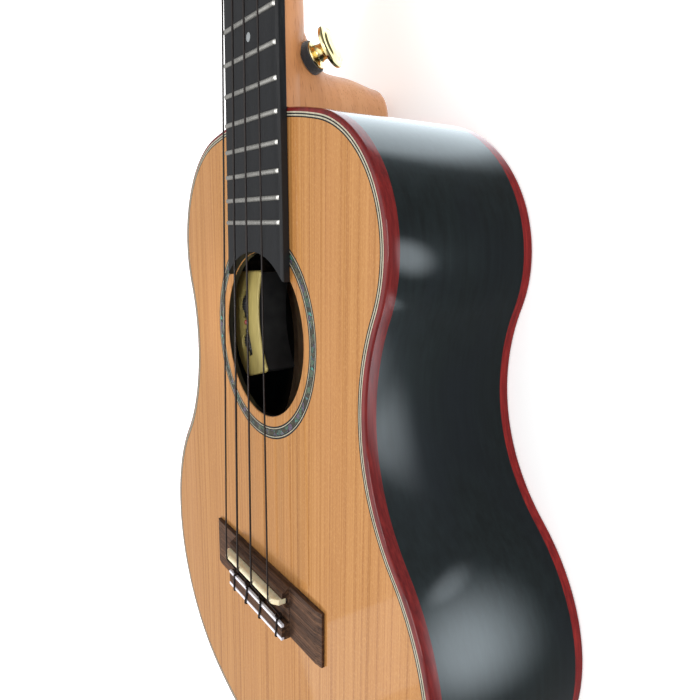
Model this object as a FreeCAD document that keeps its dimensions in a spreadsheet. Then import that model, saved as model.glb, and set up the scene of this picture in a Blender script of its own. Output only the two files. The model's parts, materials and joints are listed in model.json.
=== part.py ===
"""Tenor ukulele with an under-saddle pickup and a preamp in its soundhole.

Two frames are used. Shapes are drawn in the instrument frame: the soundboard's top face is Z = 0,
the strings run along +Y from the saddle at Y = 0 to the nut, and +X is the treble side. Every
sub-part then gets one common Placement that lays the instrument on its flat back, so that in the
finished part the back lies in Z = 0, +Y runs towards the headstock and +Z points out of the front.
Pieces of the headstock are drawn in a third frame on the headstock's own tilted face.
"""
import math
import os

import FreeCAD
import Part

Vector = FreeCAD.Vector
Placement = FreeCAD.Placement
Rotation = FreeCAD.Rotation

X_AXIS = Vector(1, 0, 0)
Y_AXIS = Vector(0, 1, 0)
Z_AXIS = Vector(0, 0, 1)
ORIGIN = Vector(0, 0, 0)

# Driving dimensions, in millimetres and degrees.
DIMENSIONS = {
    # strings
    "scale_length": 432.0,
    "string_height_nut": 5.02,
    # body outline, half widths and arc radii at the outer face of the sides
    "joint_fret": 14,
    "upper_half_width": 84.8,
    "upper_radius": 49.8,
    "top_radius": 215.0,
    "end_arch": 3.1,
    "waist_radius": 76.7,
    "lower_half_width": 113.0,
    "lower_radius": 81.5,
    "tail_radius": 169.0,
    "tail_reach": 100.0,
    # body depth
    "saddle_depth": 75.2,
    "back_slope": 3.5,
    # body shells
    "side_thickness": 1.7,
    "top_thickness": 2.5,
    "back_thickness": 2.3,
    "binding_depth": 5.0,
    "binding_round": 1.0,
    "purfling_width": 2.0,
    "inlay_depth": 1.2,
    "lining_width": 4.8,
    "lining_height": 11.0,
    "graft_width": 18.0,
    # soundhole and rosette
    "hole_centre": 106.5,
    "hole_radius": 34.5,
    "rosette_inner": 38.8,
    "rosette_outer": 44.1,
    # blocks, plate and braces
    "neck_block_length": 26.0,
    "neck_block_width": 58.0,
    "tail_block_length": 14.0,
    "tail_block_width": 56.0,
    "plate_thickness": 1.6,
    "plate_width": 116.0,
    "plate_length": 32.0,
    "brace_width": 6.0,
    "brace_height": 7.0,
    # fretboard
    "board_half_joint": 23.65,
    "board_taper": 0.020,
    "board_thickness": 3.6,
    "board_round": 1.2,
    "fret_count": 18,
    "fret_width": 2.0,
    "fret_height": 0.85,
    "fret_inset": 0.9,
    "dot_radius": 1.7,
    # nut
    "nut_length": 5.0,
    "nut_height": 5.7,
    # neck and headstock
    "shaft_depth_heel": 17.0,
    "shaft_depth_nut": 14.0,
    "heel_bottom": 55.6,
    "heel_round": 3.5,
    "head_tilt": 9.0,
    "head_length": 134.0,
    "head_half_width": 31.0,
    "head_thickness": 10.8,
    "head_rise": 1.6,
    "overlay_thickness": 1.7,
    # bridge and saddle
    "bridge_half_length": 50.0,
    "bridge_front": 4.5,
    "bridge_rear": 19.0,
    "wing_thickness": 2.1,
    "wing_tip_thickness": 1.3,
    "wing_bevel": 4.5,
    "block_half_length": 26.3,
    "tie_block_length": 7.4,
    "block_top": 6.2,
    "channel_floor": 2.8,
    "saddle_thickness": 2.6,
    "saddle_end_drop": 2.6,
    "saddle_top": 9.7,
    "saddle_floor": 2.9,
    "strip_size": 1.4,
    "tie_hole_height": 3.9,
    "tie_hole_radius": 0.6,
    "piezo_thickness": 0.9,
    # tuning machines
    "post_across": 36.0,
    "post_first": 36.0,
    "post_pitch": 50.0,
    "post_radius": 3.0,
    "post_height": 12.5,
    "gear_radius": 5.5,
    "worm_radius": 2.5,
    "worm_shaft_radius": 1.5,
    "running_gap": 0.05,
    "housing_depth": 8.7,
    "housing_half_width": 9.0,
    "housing_gap": 0.4,
    "lug_thickness": 1.4,
    "screw_offset": 13.5,
    "button_reach": 50.5,
    "button_width": 15.0,
    "button_length": 12.0,
    "button_thickness": 6.4,
    "coil_height": 2.6,
    # preamp
    "preamp_outer": 34.8,
    "preamp_face": 8.0,
    "preamp_depth": 15.0,
    "preamp_foot_start": 86.0,
    "preamp_foot_end": 127.0,
    "preamp_foot_wall": 4.4,
    "preamp_bite_radius": 42.5,
    "roller_radius": 6.5,
    "roller_width": 4.2,
    "roller_proud": 1.2,
    "roller_orbit": 37.5,
    # strap button and jack
    "strap_button_x": 16.8,
    "strap_button_y": 213.3,
    "strap_button_drop": 13.0,
    "strap_screw_radius": 1.6,
    "washer_radius": 6.0,
    "washer_thickness": 3.4,
    "washer_seat_gap": 0.2,
    "jack_drop": 40.0,
    "jack_radius": 6.0,
    "jack_bore_radius": 3.25,
}

STRING_RADII = (0.37, 0.47, 0.42, 0.36)
STRING_PLACES = (-20.2, -7.7, 6.0, 21.6)
NUT_PLACES = (-10.4, -3.6, 3.2, 10.8)
DOT_FRETS = (5, 7, 10, 12)
BACK_BRACE_PLACES = (140, 72, 4, -56)
FAN_BRACE_PLACES = (-26, 0, 26)

document = FreeCAD.newDocument("tenor_ukulele")
sheet = document.addObject("Spreadsheet::Sheet", "dimensions")
for row, (alias, value) in enumerate(DIMENSIONS.items(), start=1):
    sheet.set("A%d" % row, alias)
    sheet.set("B%d" % row, str(value))
    sheet.setAlias("B%d" % row, alias)
document.recompute()

size = {alias: float(sheet.get(alias)) for alias in DIMENSIONS}
nodes = {}


# ---------------------------------------------------------------- frames and registering

def on_back():
    """Placement that lays the instrument frame on its flat back."""
    tilt = Rotation(X_AXIS, -size["back_slope"])
    slope = math.radians(size["back_slope"])
    foot = Vector(0, size["saddle_depth"] * math.sin(slope), size["saddle_depth"] * math.cos(slope))
    return Placement(foot, tilt)


def on_head():
    """Placement of the headstock's tilted face in the instrument frame."""
    start = Vector(0, size["scale_length"] + size["nut_length"], size["head_rise"])
    return Placement(start, Rotation(X_AXIS, -size["head_tilt"]))


STAND = on_back()
HEAD = on_head()
BODY_END = size["scale_length"] * 2 ** (-size["joint_fret"] / 12)
HOLE = Vector(0, size["hole_centre"], 0)


def keep(name, item, place=STAND):
    """Label a finished document object as the sub-part of that name and lay it in place."""
    item.Label = name
    item.Placement = place.multiply(item.Placement)
    nodes[name] = item
    return item


def feature(name, shape, place=STAND):
    """A Part::Feature that holds a shape made by Part's own functions."""
    item = document.addObject("Part::Feature", name)
    item.Shape = shape
    item.Placement = place.multiply(shape.Placement)
    item.Label = name
    nodes[name] = item
    return item


# ---------------------------------------------------------------- small shape helpers

def prism(points, height, base=0.0):
    """Upright solid on a closed polygon of (x, y) points."""
    corners = [Vector(x, y, base) for x, y in points]
    return Part.Face(Part.makePolygon(corners + corners[:1])).extrude(Vector(0, 0, height))


def box(low, high):
    """Box between two opposite corners."""
    span = [high[i] - low[i] for i in range(3)]
    return Part.makeBox(span[0], span[1], span[2], Vector(*low))


def disc(radius, low, high, centre=ORIGIN):
    """Upright cylinder between two heights."""
    return Part.makeCylinder(radius, high - low, Vector(centre.x, centre.y, low))


def rod(radius, start, end):
    """Cylinder from one point to another."""
    along = end - start
    return Part.makeCylinder(radius, along.Length, start, along)


def turned(profile, start, axis):
    """Solid turned about an axis from a closed (radius, height) profile."""
    corners = [Vector(radius, 0, height) for radius, height in profile]
    face = Part.Face(Part.makePolygon(corners + corners[:1]))
    solid = face.revolve(ORIGIN, Z_AXIS, 360)
    solid.Placement = Placement(start, Rotation(Z_AXIS, axis))
    return solid


def rounded_path(points, radii):
    """Wire of straight runs joined by tangent arcs, one radius for each inner point."""
    edges = []
    last = points[0]
    for before, corner, after, radius in zip(points, points[1:], points[2:], radii):
        back = (before - corner).normalize()
        ahead = (after - corner).normalize()
        half = back.getAngle(ahead) / 2
        reach = radius / math.tan(half)
        middle = (back + ahead).normalize()
        centre = corner + middle * (radius / math.sin(half))
        enter = corner + back * reach
        leave = corner + ahead * reach
        edges.append(Part.LineSegment(last, enter).toShape())
        edges.append(Part.Arc(enter, centre - middle * radius, leave).toShape())
        last = leave
    edges.append(Part.LineSegment(last, points[-1]).toShape())
    return Part.Wire(edges)


def tube(path, radius):
    """Round solid swept along a path."""
    start = path.Edges[0]
    first = start.Vertexes[0].Point
    ring = Part.Wire(Part.Circle(first, start.tangentAt(start.FirstParameter), radius).toShape())
    return path.makePipeShell([ring], True, False)


def upright_edges(shape):
    """Straight edges of a shape that run along Z."""
    return [edge for edge in shape.Edges if abs(edge.tangentAt(edge.FirstParameter).z) > 0.99]


def edges_where(shape, test):
    """Edges of a shape whose middle point passes a test."""
    return [edge for edge in shape.Edges if test(edge.CenterOfMass)]


# ---------------------------------------------------------------- body outline

def outline_arcs():
    """Centre and radius of the five kinds of arc that meet tangentially round the body."""
    upper_x = size["upper_half_width"] - size["upper_radius"]
    lower_x = size["lower_half_width"] - size["lower_radius"]
    top_y = BODY_END + size["end_arch"] - size["top_radius"]
    upper_gap = size["top_radius"] - size["upper_radius"]
    upper = Vector(upper_x, top_y + math.sqrt(upper_gap ** 2 - upper_x ** 2), 0)
    tail_y = size["tail_radius"] - size["tail_reach"]
    lower_gap = size["tail_radius"] - size["lower_radius"]
    lower = Vector(lower_x, tail_y - math.sqrt(lower_gap ** 2 - lower_x ** 2), 0)
    to_lower = size["lower_radius"] + size["waist_radius"]
    to_upper = size["upper_radius"] + size["waist_radius"]
    across = upper - lower
    along = (to_lower ** 2 - to_upper ** 2 + across.Length ** 2) / (2 * across.Length)
    aside = math.sqrt(to_lower ** 2 - along ** 2)
    unit = across.normalize()
    waist = lower + unit * along + Vector(unit.y, -unit.x, 0) * aside
    return {
        "top": (Vector(0, top_y, 0), size["top_radius"], 1),
        "upper": (upper, size["upper_radius"], 1),
        "waist": (waist, size["waist_radius"], -1),
        "lower": (lower, size["lower_radius"], 1),
        "tail": (Vector(0, tail_y, 0), size["tail_radius"], 1),
    }


ARCS = outline_arcs()


def heading(start, end):
    """Angle of the line from one point to another."""
    return math.atan2(end.y - start.y, end.x - start.x)


def half_outline(inset):
    """Treble half of the outline as (centre, radius, first angle, last angle), tail to neck."""
    top, upper, waist, lower, tail = [ARCS[key][0] for key in ("top", "upper", "waist", "lower", "tail")]
    radius = {key: value[1] - value[2] * inset for key, value in ARCS.items()}
    return [
        (tail, radius["tail"], -math.pi / 2, heading(tail, lower)),
        (lower, radius["lower"], heading(tail, lower), heading(lower, waist)),
        (waist, radius["waist"], heading(waist, lower) % (2 * math.pi), heading(waist, upper)),
        (upper, radius["upper"], heading(waist, upper) - math.pi, heading(top, upper)),
        (top, radius["top"], heading(top, upper), math.pi / 2),
    ]


def outline_wire(inset, base=0.0):
    """Closed outline of the body, moved inwards by inset."""
    edges = []
    for centre, radius, first, last in half_outline(inset):
        for side in (1, -1):
            points = []
            for angle in (first, (first + last) / 2, last):
                reach = Vector(math.cos(angle), math.sin(angle), 0) * radius
                points.append(Vector(side * (centre.x + reach.x), centre.y + reach.y, base))
            edges.append(Part.Arc(*points).toShape())
    return Part.Wire(Part.__sortEdges__(edges))


def body_prism(inset, low, high):
    """Solid on the body's outline between two heights."""
    return Part.Face(outline_wire(inset, low)).extrude(Vector(0, 0, high - low))


def body_ring(outer, inner, low, high):
    """Rim that follows the body's outline between two insets and two heights."""
    return body_prism(outer, low, high).cut(body_prism(inner, low - 1, high + 1))


def back_slab(low, high):
    """Wide slab parallel to the flat back, between two heights above it."""
    slab = box((-200, -300, low), (200, 300, high))
    slab.Placement = STAND.inverse()
    return slab


DEEP = -size["saddle_depth"] - 25


# ---------------------------------------------------------------- soundbox

def soundboard():
    rim = size["side_thickness"]
    plate = body_prism(rim, -size["top_thickness"], 0)
    plate = plate.cut(disc(size["hole_radius"], -size["top_thickness"] - 1, 1, HOLE))
    plate = plate.cut(body_ring(rim - 1, rim + size["purfling_width"], -size["inlay_depth"], 1))
    channel = disc(size["rosette_outer"], -size["inlay_depth"], 1, HOLE)
    plate = plate.cut(channel.cut(disc(size["rosette_inner"], -size["inlay_depth"], 1, HOLE)))
    feature("soundboard", plate)


def inlays():
    rim = size["side_thickness"]
    feature("purfling_front", body_ring(rim, rim + size["purfling_width"], -size["inlay_depth"], 0))
    ring = disc(size["rosette_outer"], -size["inlay_depth"], 0, HOLE)
    feature("rosette", ring.cut(disc(size["rosette_inner"], -size["inlay_depth"], 0, HOLE)))


def back():
    plate = body_prism(size["side_thickness"], DEEP, 0)
    feature("back", plate.common(back_slab(0, size["back_thickness"])))


def bindings():
    front = body_ring(0, size["side_thickness"], -size["binding_depth"], 0)
    outer = edges_where(front, lambda point: point.z > -0.01)
    outer = [edge for edge in outer if on_outer_face(edge)]
    feature("binding_front", front.makeFillet(size["binding_round"], outer))
    rear = body_ring(0, size["side_thickness"], DEEP, 0).common(back_slab(0, size["binding_depth"]))
    low = [edge for edge in rear.Edges if on_back_face(edge) and on_outer_face(edge)]
    feature("binding_back", rear.makeFillet(size["binding_round"], low))


def on_outer_face(edge):
    """True for an edge that lies on the outer face of the sides."""
    middle = edge.valueAt((edge.FirstParameter + edge.LastParameter) / 2)
    flat = Part.Vertex(Vector(middle.x, middle.y, 0))
    return flat.distToShape(OUTLINE)[0] < 0.2


def on_back_face(edge):
    """True for an edge that lies in the plane of the flat back."""
    middle = edge.valueAt((edge.FirstParameter + edge.LastParameter) / 2)
    return abs(STAND.multVec(middle).z) < 0.01


OUTLINE = outline_wire(0)


def sides():
    rim = body_ring(0, size["side_thickness"], DEEP, -size["binding_depth"])
    rim = rim.common(back_slab(size["binding_depth"], 200))
    half = size["graft_width"] / 2
    tail = box((-half, -size["tail_reach"] - 1, DEEP), (half, -size["tail_reach"] / 2, 0))
    feature("end_graft", rim.common(tail).cut(jack_hole()))
    rim = rim.cut(tail)
    feature("side_treble", rim.common(box((0, -200, DEEP), (200, 300, 0))))
    feature("side_bass", rim.common(box((-200, -200, DEEP), (0, 300, 0))))


def jack_hole():
    """Clearance bore for the output jack, along Y through the tail."""
    start = Vector(0, -size["tail_reach"] - 10, -size["jack_drop"])
    return rod(size["jack_radius"], start, start + Y_AXIS * 40)


def end_boxes():
    """Upright boxes that hold the neck block and the tail block."""
    neck_half = size["neck_block_width"] / 2
    tail_half = size["tail_block_width"] / 2
    neck_start = BODY_END - size["neck_block_length"]
    tail_end = -size["tail_reach"] + size["tail_block_length"]
    neck = box((-neck_half, neck_start, DEEP), (neck_half, BODY_END + 5, -size["top_thickness"]))
    tail = box((-tail_half, -size["tail_reach"] - 5, DEEP), (tail_half, tail_end, -size["top_thickness"]))
    return neck, tail


def blocks_and_linings():
    neck, tail = end_boxes()
    room = body_prism(size["side_thickness"], DEEP, -size["top_thickness"])
    room = room.common(back_slab(size["back_thickness"], 200))
    feature("neck_block", room.common(neck))
    feature("tail_block", room.common(tail).cut(jack_hole()))
    inner = size["side_thickness"] + size["lining_width"]
    top = -size["top_thickness"]
    front = body_ring(size["side_thickness"], inner, top - size["lining_height"], top)
    feature("lining_front", front.cut(neck).cut(tail))
    rear = body_ring(size["side_thickness"], inner, DEEP, -30)
    low = size["back_thickness"]
    rear = rear.common(back_slab(low, low + size["lining_height"]))
    feature("lining_back", rear.cut(neck).cut(tail))


def brace(start, end, low, high):
    """Straight bar between two plan points, between two heights."""
    along = Vector(end[0] - start[0], end[1] - start[1], 0)
    bar = box((0, -size["brace_width"] / 2, low), (along.Length, size["brace_width"] / 2, high))
    bar.Placement = Placement(Vector(start[0], start[1], 0), Rotation(X_AXIS, along))
    return bar


def bridge_plate():
    """Thin plate glued under the soundboard below the bridge."""
    plate = document.addObject("Part::Box", "bridge_plate")
    plate.setExpression("Length", "dimensions.plate_width")
    plate.setExpression("Width", "dimensions.plate_length")
    plate.setExpression("Height", "dimensions.plate_thickness")
    low = -size["top_thickness"] - size["plate_thickness"]
    bridge_middle = (size["bridge_front"] - size["bridge_rear"]) / 2
    plate.Placement.Base = Vector(-size["plate_width"] / 2, bridge_middle - size["plate_length"] / 2, low)
    document.recompute()
    return keep("bridge_plate", plate)


def braces():
    inner = size["side_thickness"] + size["lining_width"] + 0.5
    room = body_prism(inner, DEEP, 0)
    top = -size["top_thickness"]
    low = top - size["brace_height"]
    plate = nodes["bridge_plate"].Shape.copy()
    plate.Placement = STAND.inverse().multiply(plate.Placement)
    reach = size["lower_half_width"]
    clear = size["rosette_outer"] + 4
    above = size["hole_centre"] + clear
    below = size["hole_centre"] - clear
    bars = [brace((-reach, y), (reach, y), low, top) for y in (above, below)]
    bars += [brace((x, below - 8), (2 * x, -72), low + 2, top).cut(plate) for x in FAN_BRACE_PLACES]
    feature("top_braces", Part.makeCompound([bar.common(room) for bar in bars]))
    floor = size["back_thickness"]
    slab = back_slab(floor, floor + size["brace_height"])
    ladders = [brace((-reach, y), (reach, y), DEEP, -40) for y in BACK_BRACE_PLACES]
    feature("back_braces", Part.makeCompound([bar.common(room).common(slab) for bar in ladders]))


# ---------------------------------------------------------------- neck, fretboard and nut

def board_half(y):
    """Half width of the fretboard at a distance from the saddle."""
    return size["board_half_joint"] - size["board_taper"] * (y - BODY_END)


def fret_place(number):
    """Distance from the saddle to a fret in equal temperament."""
    return size["scale_length"] * 2 ** (-number / 12)


def shaft_section(y, depth, half, top=0.0):
    """Half ellipse below a flat top, in an upright plane across the neck."""
    steps = [math.pi * step / 12 for step in range(13)]
    curve = Part.BSplineCurve()
    curve.interpolate([Vector(half * math.cos(a), y, top - depth * math.sin(a)) for a in steps])
    lid = Part.LineSegment(Vector(-half, y, top), Vector(half, y, top))
    return Part.Wire([curve.toShape(), lid.toShape()])


def heel_section(z, half, reach):
    """Rounded tongue in plan that stands out of the body's end by reach."""
    power = 2 / 2.6
    points = []
    for step in range(17):
        angle = math.pi * step / 16
        cosine = math.cos(angle)
        x = half * math.copysign(abs(cosine) ** power, cosine)
        points.append(Vector(x, BODY_END + reach * abs(math.sin(angle)) ** power, z))
    curve = Part.BSplineCurve()
    curve.interpolate(points)
    root = Part.LineSegment(points[-1], points[0])
    return Part.Wire([curve.toShape(), root.toShape()])


# Heel as it goes down from the fretboard: depth, half width, reach from the body.
HEEL_STATIONS = (
    (0.0, 21.2, 52.0),
    (8.0, 20.7, 47.0),
    (13.0, 20.2, 38.0),
    (17.0, 19.7, 29.4),
    (21.0, 19.1, 23.2),
    (26.0, 18.3, 20.7),
    (33.0, 17.2, 20.2),
    (42.0, 15.9, 19.4),
)
HEEL_FOOT = (14.2, 18.6)


def head_outline():
    """Plan of the headstock on its own face, from the nut to the tip."""
    half = size["head_half_width"]
    neck_half = board_half(size["scale_length"]) + 0.1
    tip = size["head_length"]
    right = [(neck_half, -9), (neck_half, 5), (half - 2, 25), (half, tip - 8), (0, tip)]
    left = [(-x, y) for x, y in reversed(right[:-1])]
    return right + left


def head_plate(low, high):
    """Headstock plate between two heights, with softened corners in plan."""
    plate = prism(head_outline(), high - low, low)
    tip = size["head_length"]
    ends = [edge for edge in upright_edges(plate)
            if edge.CenterOfMass.y > tip - 20 and abs(edge.CenterOfMass.x) > 1]
    plate = plate.makeFillet(TIP_ROUND, ends)
    shoulders = [edge for edge in upright_edges(plate) if 0 < edge.CenterOfMass.y < 40]
    return plate.makeFillet(SHOULDER_ROUND, shoulders)


TIP_ROUND = 7.0
SHOULDER_ROUND = 12.0


def post_centres():
    """The four tuning posts on the headstock: (side, plan point)."""
    half = size["post_across"] / 2
    places = []
    for side, rank in ((-1, 0), (-1, 1), (1, 1), (1, 0)):
        y = size["post_first"] + rank * size["post_pitch"]
        places.append((side, Vector(side * half, y, 0)))
    return places


POSTS = post_centres()


def neck():
    nut_y = size["scale_length"] + size["nut_length"]
    half = board_half(BODY_END) - 0.6
    nut_half = board_half(size["scale_length"])
    sections = [
        shaft_section(BODY_END, size["shaft_depth_heel"], half),
        shaft_section(nut_y, size["shaft_depth_nut"], nut_half),
    ]
    shaft = Part.makeLoft(sections, True, True)
    tail = [sections[1], shaft_section(nut_y + 16, 6.0, nut_half - 2, -4.0)]
    volute = Part.makeLoft(tail, True, True)
    stations = [heel_section(-depth, wide, reach) for depth, wide, reach in HEEL_STATIONS]
    stations.append(heel_section(-size["heel_bottom"], *HEEL_FOOT))
    heel = Part.makeLoft(stations, True, False)
    low = edges_where(heel, lambda p: p.z < -size["heel_bottom"] + 0.5 and p.y > BODY_END + 1)
    heel = heel.makeFillet(size["heel_round"], low)
    top = -size["overlay_thickness"]
    plate = head_plate(top - size["head_thickness"], top)
    for _, centre in POSTS:
        plate = plate.cut(disc(BUSH_SLEEVE, top - BUSH_LENGTH, 1, centre))
        plate = plate.cut(disc(size["post_radius"] + 0.6, -30, 1, centre))
        plate = plate.cut(screw_shape(centre))
    plate.Placement = HEAD
    nut_seat = box((-40, size["scale_length"] - 30, 0), (40, nut_y, 10))
    whole = shaft.fuse(heel).fuse(volute).fuse(plate).cut(nut_seat)
    whole = whole.cut(body_prism(0, DEEP, 1)).cut(strap_seat_shape()).cut(strap_screw_shape())
    overlay = head_plate(-30, 30).common(box((-60, -20, top), (60, 200, 30)))
    overlay.Placement = HEAD
    feature("neck", whole.cut(overlay).removeSplitter())


def headstock_overlay():
    """Thin veneer on the headstock's face, from the nut to the tip."""
    veneer = head_plate(-size["overlay_thickness"], 0)
    veneer = veneer.common(box((-60, 0.6, -5), (60, 200, 5)))
    for _, centre in POSTS:
        veneer = veneer.cut(disc(BUSH_SLEEVE, -5, 5, centre))
    feature("headstock_overlay", veneer, STAND.multiply(HEAD))


def fret_tang(number):
    """Blade of a fret that sits in its slot in the fretboard."""
    y = fret_place(number)
    half = board_half(y) - size["fret_inset"]
    low = size["board_thickness"]
    return box((-half, y - 0.3, low - 1.6), (half, y + 0.3, low + 0.1))


def fret(number):
    """Crown and tang of one fret, its ends sloped."""
    y = fret_place(number)
    half = board_half(y) - size["fret_inset"]
    low = size["board_thickness"]
    crown = rod(size["fret_width"] / 2, Vector(-half, y, low - 0.15), Vector(half, y, low - 0.15))
    slope = [(-half, low), (half, low), (half - 0.6, low + 1.2), (-half + 0.6, low + 1.2)]
    corners = [Vector(x, y - 2, z) for x, z in slope]
    mould = Part.Face(Part.makePolygon(corners + corners[:1])).extrude(Vector(0, 4, 0))
    return crown.common(mould).fuse(fret_tang(number)).removeSplitter()


def fretboard():
    start = size["hole_centre"] + 10
    end = size["scale_length"]
    corners = [(-board_half(start), start), (board_half(start), start),
               (board_half(end), end), (-board_half(end), end)]
    board = prism(corners, size["board_thickness"])
    long_edges = edges_where(board, lambda p: p.z > size["board_thickness"] - 0.01 and abs(p.x) > 10)
    board = board.makeFillet(size["board_round"], long_edges)
    board = board.cut(disc(size["hole_radius"], -5, 10, HOLE))
    numbers = range(1, int(size["fret_count"]) + 1)
    for number in numbers:
        board = board.cut(fret_tang(number))
    dots = [dot(number) for number in DOT_FRETS]
    feature("fretboard", board.cut(Part.makeCompound(dots)))
    feature("frets", Part.makeCompound([fret(number) for number in numbers]))
    feature("position_dots", Part.makeCompound(dots))


def dot(number):
    """Round inlay half way between a fret and the one before it."""
    centre = Vector(0, (fret_place(number) + fret_place(number - 1)) / 2, 0)
    return disc(size["dot_radius"], size["board_thickness"] - 1.0, size["board_thickness"], centre)


def string_x(index, y):
    """Sideways place of a string at a distance from the saddle."""
    at_saddle = STRING_PLACES[index]
    at_nut = NUT_PLACES[index]
    return at_saddle + (at_nut - at_saddle) * y / size["scale_length"]


def origin_plane(body, role):
    """One of a body's own origin planes."""
    return [item for item in body.Origin.OriginFeatures if item.Role == role][0]


def sketch_on(body, role, offset, loops, circles=()):
    """Sketch of closed loops of straight lines, and of circles, on an origin plane of its body."""
    sketch = body.newObject("Sketcher::SketchObject", body.Name + "_sketch")
    sketch.AttachmentSupport = [(origin_plane(body, role), "")]
    sketch.MapMode = "FlatFace"
    sketch.AttachmentOffset = Placement(Vector(0, 0, offset), Rotation())
    for points in loops:
        for start, end in zip(points, points[1:] + points[:1]):
            sketch.addGeometry(Part.LineSegment(Vector(*start, 0), Vector(*end, 0)))
    for x, y, radius in circles:
        sketch.addGeometry(Part.Circle(Vector(x, y, 0), Z_AXIS, radius))
    return sketch


def pad(body, sketch, length, both_ways=False):
    """Pad whose length is an expression of the sheet."""
    solid = body.newObject("PartDesign::Pad", body.Name + "_pad")
    solid.Profile = sketch
    solid.Midplane = both_ways
    solid.setExpression("Length", length)
    return solid


def pocket(body, sketch, length):
    """Pocket into the body, against the sketch's normal."""
    hole = body.newObject("PartDesign::Pocket", body.Name + "_pocket")
    hole.Profile = sketch
    hole.setExpression("Length", length)
    document.recompute()
    return hole


def nut_slot(index):
    """Room for a string in the nut: its own round seat, open above."""
    radius = STRING_RADII[index] + size["running_gap"]
    seat = tube(rounded_path(string_route(index), STRING_BENDS), radius)
    bend, end = string_route(index)[-2:]
    after = bend + (end - bend) * 0.1
    start = Vector(bend.x, bend.y - 4, bend.z)
    corners = [start, bend, after, Vector(after.x, after.y, 9), Vector(start.x, start.y, 9)]
    corners = [Vector(bend.x - radius, corner.y, corner.z) for corner in corners]
    mouth = Part.Face(Part.makePolygon(corners + corners[:1])).extrude(X_AXIS * (2 * radius))
    return seat.fuse(mouth)


def nut():
    body = document.addObject("PartDesign::Body", "nut_blank")
    half = board_half(size["scale_length"])
    start = size["scale_length"]
    profile = [(start, 0), (start + size["nut_length"], 0),
               (start + size["nut_length"], size["nut_height"] - 1.4), (start + 1.2, size["nut_height"]),
               (start, size["nut_height"] - 0.2)]
    pad(body, sketch_on(body, "YZ_Plane", 0, [profile]), "%f" % (2 * half), both_ways=True)
    slots = document.addObject("Part::Feature", "nut_slots")
    slots.Shape = Part.makeCompound([nut_slot(index) for index in range(len(STRING_RADII))])
    slotted = document.addObject("Part::Cut", "nut")
    slotted.Base = body
    slotted.Tool = slots
    document.recompute()
    return keep("nut", slotted)


# ---------------------------------------------------------------- bridge

def bridge():
    body = document.addObject("PartDesign::Body", "bridge")
    half = size["bridge_half_length"]
    bevel = half - size["wing_bevel"]
    tip = size["wing_tip_thickness"]
    wing = [(-half, 0), (half, 0), (half, tip), (bevel, size["wing_thickness"]),
            (-bevel, size["wing_thickness"]), (-half, tip)]
    pad(body, sketch_on(body, "XZ_Plane", -size["bridge_front"], [wing]),
        "dimensions.bridge_front + dimensions.bridge_rear")
    slot = saddle_slot()
    top = size["block_top"]
    floor = size["channel_floor"]
    rear = -size["bridge_rear"]
    strip = size["strip_size"]
    tie = rear + size["tie_block_length"]
    ledge = top + STRIP_PROUD - strip
    front = size["bridge_front"]
    profile = [(front, 0), (front, floor), (front - 2.1, top - 0.2),
               (slot[1], top - 0.2), (slot[1], size["saddle_floor"]), (slot[0], size["saddle_floor"]),
               (slot[0], top - 0.9), (slot[0] - 1.6, top - 1.4), (slot[0] - 2.4, floor), (tie, floor),
               (tie, ledge), (tie - strip, ledge), (tie - strip, top), (rear + strip, top),
               (rear + strip, ledge), (rear, ledge), (rear, 0)]
    pad(body, sketch_on(body, "YZ_Plane", 0, [profile]), "2 * dimensions.block_half_length",
        both_ways=True)
    holes = [(string_x(index, 0), size["tie_hole_height"], size["tie_hole_radius"]) for index in range(4)]
    pocket(body, sketch_on(body, "XZ_Plane", size["bridge_rear"] + 1, [], holes),
           "dimensions.tie_block_length + 1.6")
    keep("bridge", body)
    block = size["block_half_length"]
    strips = [box((-block, y, ledge), (block, y + strip, ledge + strip)) for y in (rear, tie - strip)]
    feature("tie_block_strips", Part.makeCompound(strips))


# Height of the white strips above the tie block.
STRIP_PROUD = 0.15


def saddle_slot():
    """Rear and front face of the saddle slot."""
    return (-0.1 - size["saddle_thickness"], -0.1)


def saddle():
    """Bone blade with a round top, its ends lower than its middle."""
    low, high = saddle_slot()
    middle = (low + high) / 2
    radius = size["saddle_thickness"] / 2
    half = size["block_half_length"] - 0.4
    top = size["saddle_top"]
    end_top = top - size["saddle_end_drop"]
    base = size["saddle_floor"] + size["piezo_thickness"]
    blade = box((-half, low, base), (half, high, top - radius))
    crown = rod(radius, Vector(-half, middle, top - radius), Vector(half, middle, top - radius))
    blade = blade.fuse(crown).removeSplitter()
    for side in (-1, 1):
        corners = [(side * half, end_top), (side * (half - 3.6), top + 0.01),
                   (side * (half + 1), top + 0.01), (side * (half + 1), end_top)]
        points = [Vector(x, low - 1, z) for x, z in corners]
        wedge = Part.Face(Part.makePolygon(points + points[:1])).extrude(Vector(0, 6, 0))
        blade = blade.cut(wedge)
    feature("saddle", blade)


def piezo_pickup():
    """Flat pickup strip in the floor of the saddle slot."""
    strip = document.addObject("Part::Box", "piezo_pickup")
    strip.setExpression("Length", "2 * dimensions.block_half_length - 3")
    strip.setExpression("Width", "dimensions.saddle_thickness - 0.2")
    strip.setExpression("Height", "dimensions.piezo_thickness")
    low, _ = saddle_slot()
    strip.Placement.Base = Vector(1.5 - size["block_half_length"], low + 0.1, size["saddle_floor"])
    document.recompute()
    return keep("piezo_pickup", strip)


# ---------------------------------------------------------------- strings

COIL_MIDDLE = 5.2
COIL_THICKNESS = 0.85
STRING_BENDS = (0.9, 0.9, 0.9, 1.6, 2.0, 8.0)
# Clearance of a string from the bridge, and how far its loop leans sideways.
TOUCH_GAP = 0.05
LOOP_ASIDE = 1.3


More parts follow.
